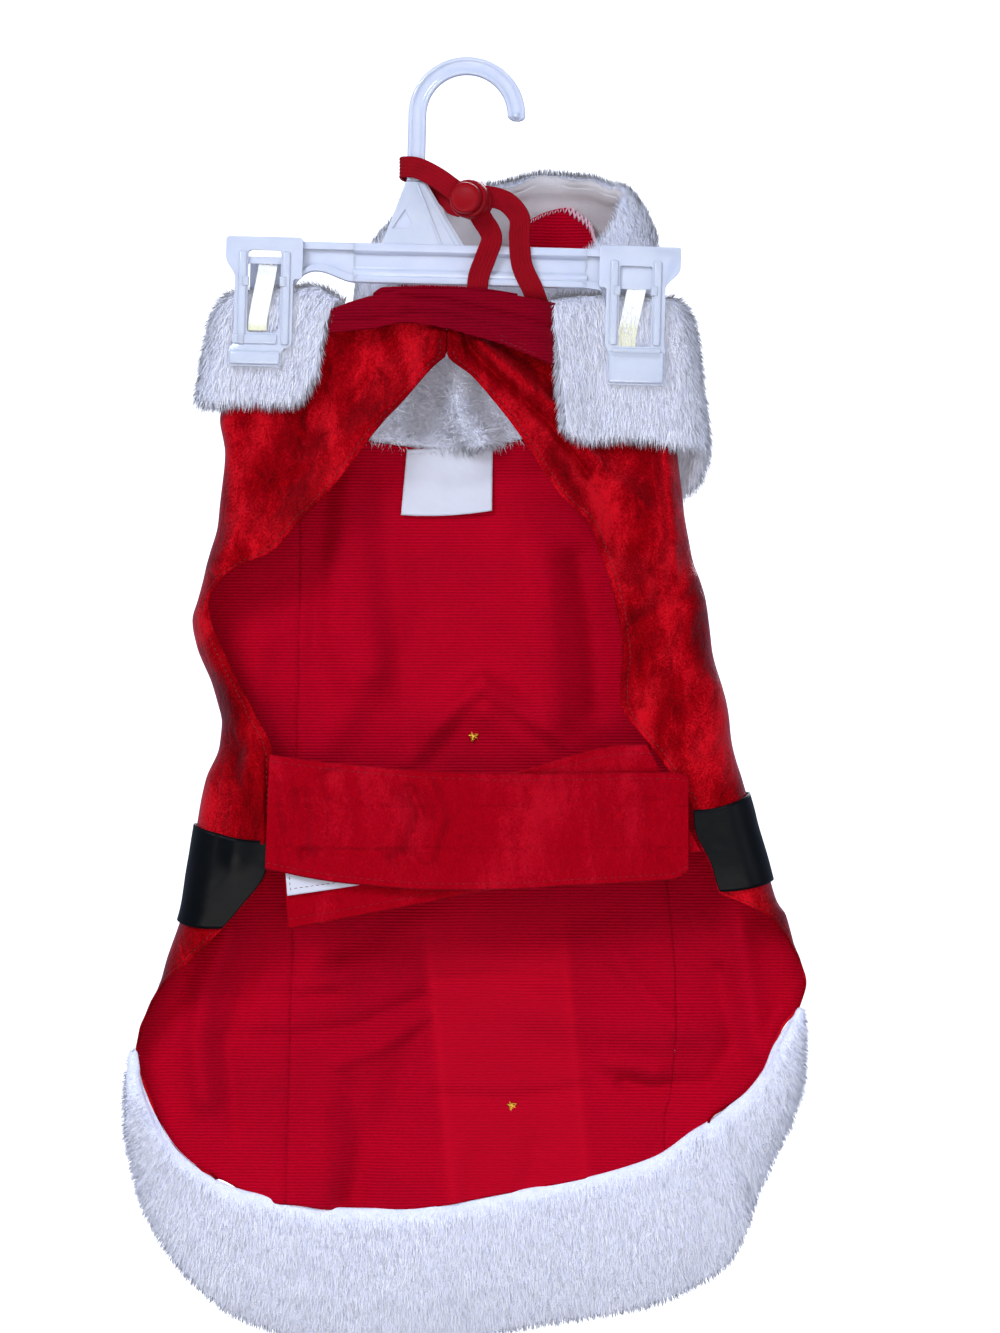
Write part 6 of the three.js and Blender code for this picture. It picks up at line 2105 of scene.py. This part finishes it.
    def front_jaw(self, c: ClipSizes) -> None:
        """A clip's front jaw: a windowed plate under a beam, with hinge ears and a ribbed pad."""
        (outer, inner), (leg, leg_end), top = c.head, c.leg, self.clip_top
        (x0, x1, win_top, win_end), (jaw_x0, jaw_x1, jaw_top, jaw_end) = c.window, c.jaw
        outline = [(outer, top), *((lerp(outer, leg, smooth(k)), lerp(-84.0, -93.0, k)) for k in steps(9)),
                   (leg, jaw_top + 1.5), (jaw_x0, jaw_top - 0.5), (jaw_x0, jaw_end), (jaw_x1, jaw_end),
                   (jaw_x1, jaw_top - 0.5), (leg_end, jaw_top + 1.5), (leg_end, -93), (inner, -93), (inner, top)]
        window = [(x0, win_top), (x1, win_top), (x1, win_end), (x0, win_end)]
        front, plate = self.clip_front, self.clip_plate
        (near, far), (low, high), (left, right) = sorted(c.head), sorted((x0, x1)), sorted((jaw_x0, jaw_x1))
        parts = [upright(outline, plate - front - 1.2, front + 1.2, window, 2.2, 0.6),
                 block(near + 0.6, far - 0.6, front + 2.4, self.bar_rear, -79.3, top - 0.2, 1.4)]
        parts += [block(x - 1.8, x + 1.8, front, plate - 0.6, jaw_top + 1.5, -81, 0.9)
                  for x in (low - 2.4, high + 2.4)]
        parts += [block(x - 1.5, x + 1.5, front - 0.4, plate - 0.2, -96.5, -92.2, 0.5)
                  for x in (low - 1.1, high + 1.1)]
        parts += [block(low - 0.5, high + 0.5, plate - 1.4, plate, c.screen, -83.4),
                  block(left + 0.4, right - 0.4, front, plate - 0.5, jaw_end + 0.6, jaw_top - 1.2, 1.2),
                  block(left + 2.0, right - 2.0, front + 0.2, plate - 0.6, win_end - 5.2, win_end - 0.8, 0.7)]
        self.part(f"clip_jaw_{c.name}", parts, f"clip_front_{c.name}")

    def rear_jaw(self, c: ClipSizes) -> None:
        """A clip's rear jaw: a plate behind the cloth with a pad at its end."""
        middle, top, end = (c.window[0] + c.window[1]) / 2, c.jaw[2], c.jaw[3]
        self.part(f"clip_rear_{c.name}", [block(middle - 7, middle + 7, 0.5, 2.5, end, -85.7, 0.5),
                                          block(middle - 7, middle + 7, -1.25, 1.5, end, top, 0.5)],
                  f"clip_back_{c.name}")

    def spring(self, c: ClipSizes) -> None:
        """The bent steel strip that closes a clip."""
        middle, end = (c.window[0] + c.window[1]) / 2, c.strip_end
        legs = np.array([(c.lean, -9.9, end), (c.lean, -9.9, end + 4), (1, -9.9, -90), (1.6, -9, -85.2),
                         (1.8, -3.4, -83.6), (1.8, 2, -84.8), (1.8, 3.2, -88), (1.8, 3.2, -116)])
        points = spline(legs + (middle, 0, 0), 90)
        section = np.array([(-4.1, -0.3), (-4.3, -0.1), (-4.3, 0.1), (-4.1, 0.3), (4.1, 0.3), (4.3, 0.1),
                            (4.3, -0.1), (4.1, -0.3), (-4.1, -0.3)])
        self.strip(f"clip_strip_{c.name}", swept(points, np.tile([1.0, 0, 0], (len(points), 1)), section),
                   self.finishes.steel, "spring", f"clip_spring_{c.name}", 40)


# ---------------- the studio
@dataclass
class Studio:
    """A plain pale room, soft lights and the camera."""

    centre: tuple = (0.0142, -2.6, -0.2626)
    view_height: float = 0.5919  # what the camera sees from top to bottom, at the coat
    floor_z: float = -0.62
    sensor_mm: float = 36

    def build(self) -> None:
        """Builds the camera, the floor and the lights."""
        self.camera()
        self.room()
        self.lamps()

    def camera(self) -> None:
        """The camera, level with the middle of the coat and square to it."""
        data = bpy.data.cameras.new("camera")
        data.sensor_width = self.sensor_mm
        data.lens = self.sensor_mm * abs(self.centre[1]) / self.view_height
        data.clip_start, data.clip_end = 0.01, 100
        camera = bpy.data.objects.new("camera", data)
        camera.location = self.centre
        camera.rotation_euler = (math.pi / 2, 0, 0)
        bpy.context.scene.collection.objects.link(camera)
        bpy.context.scene.camera = camera
        bpy.context.scene.view_settings.view_transform = "Standard"

    def room(self) -> None:
        """A round floor that curves up into a pale wall, open at the top."""
        profile = [(0, self.floor_z), (3.6, self.floor_z)]
        profile += [(3.6 + 1.4 * math.sin(a), self.floor_z + 1.4 - 1.4 * math.cos(a))
                    for a in steps(8, 0.1, math.pi / 2)]
        bm = lathe([*profile, (5.0, 3.6)], 64)
        bmesh.ops.reverse_faces(bm, faces=bm.faces)
        mesh = bpy.data.meshes.new("studio_room")
        bm.to_mesh(mesh)
        bm.free()
        mesh.shade_smooth()
        material, tree, _, _ = surface("painted_plaster_pale", Roughness=0.9, Specular_IOR_Level=0.1,
                                       Emission_Color=linear("FFFFFF"), Emission_Strength=1.0)
        mesh.materials.append(dressed(material, "F4F5F7", ((add(tree, "TexNoise", {"Scale": 3.0}), "FAFAFB"),)))
        room = bpy.data.objects.new("studio_room", mesh)
        room.visible_diffuse = room.visible_glossy = False
        bpy.context.scene.collection.objects.link(room)
        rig.stage(room)

    def lamps(self) -> None:
        """A soft key from the upper left, weak fills from the right and below, and light from behind."""
        world = bpy.data.worlds.new("sky")
        world.use_nodes = True
        feed(world.node_tree.nodes["Background"], {"Color": linear("CCDAFF"), "Strength": 0.5})
        bpy.context.scene.world = world
        for name, place, size, power, colour in (
                ("key", (-0.9, -1.5, 0.8), 0.6, 24, "DFE9FF"), ("fill", (1.7, -1.6, 0.0), 1.2, 9.5, "E6EDFF"),
                ("low", (-0.1, -1.4, -0.95), 0.9, 11.5, "FFF8F0"), ("card", (0.1, -3.3, -0.2), 2.0, 12, "FFFFFF"),
                ("back", (0.4, 1.7, 0.7), 1.2, 26, "F4F7FF")):
            data = bpy.data.lights.new(name, "AREA")
            data.size, data.energy = size, power
            data.color = linear(colour)[:3]
            lamp = bpy.data.objects.new(name, data)
            lamp.location = place
            lamp.rotation_euler = (Vector((0.0, 0.0, -0.27)) - Vector(place)).to_track_quat("-Z", "Y").to_euler()
            bpy.context.scene.collection.objects.link(lamp)


def main() -> None:
    """Builds the studio and every part of the suit, in order."""
    logging.basicConfig(level=logging.INFO, format="%(message)s")
    Studio().build()
    finishes, shape = Finishes(), CoatShape()
    ClipHanger(finishes).build()
    Elastic(finishes).build()
    CordLock(finishes).build()
    Panels(shape, finishes).build()
    Label(shape, finishes).build()
    Collar(Plush(finishes, Pile(length=5.4, stand=0.52, stray=0.4, per_mm2=2.3))).build()
    HemTrim(Plush(finishes, Pile(seed=13))).build()
    Placket(shape, Plush(finishes, Pile(length=2.4, width=0.6, per_mm2=2.4, seed=23))).build()
    Belt(shape, finishes).build()
    Straps(finishes).build()
    NeckTab(finishes).build()
    Hat(finishes, Plush(finishes, Pile(length=3.6, stray=0.2, seed=43))).build()
    size = {"cad": [list(corner) for corner in CAD_BOX], "visual": [list(corner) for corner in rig.bounds()]}
    with open("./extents.json", "w") as out:
        json.dump(size, out, indent=1)


if __name__ == "__main__":
    main()
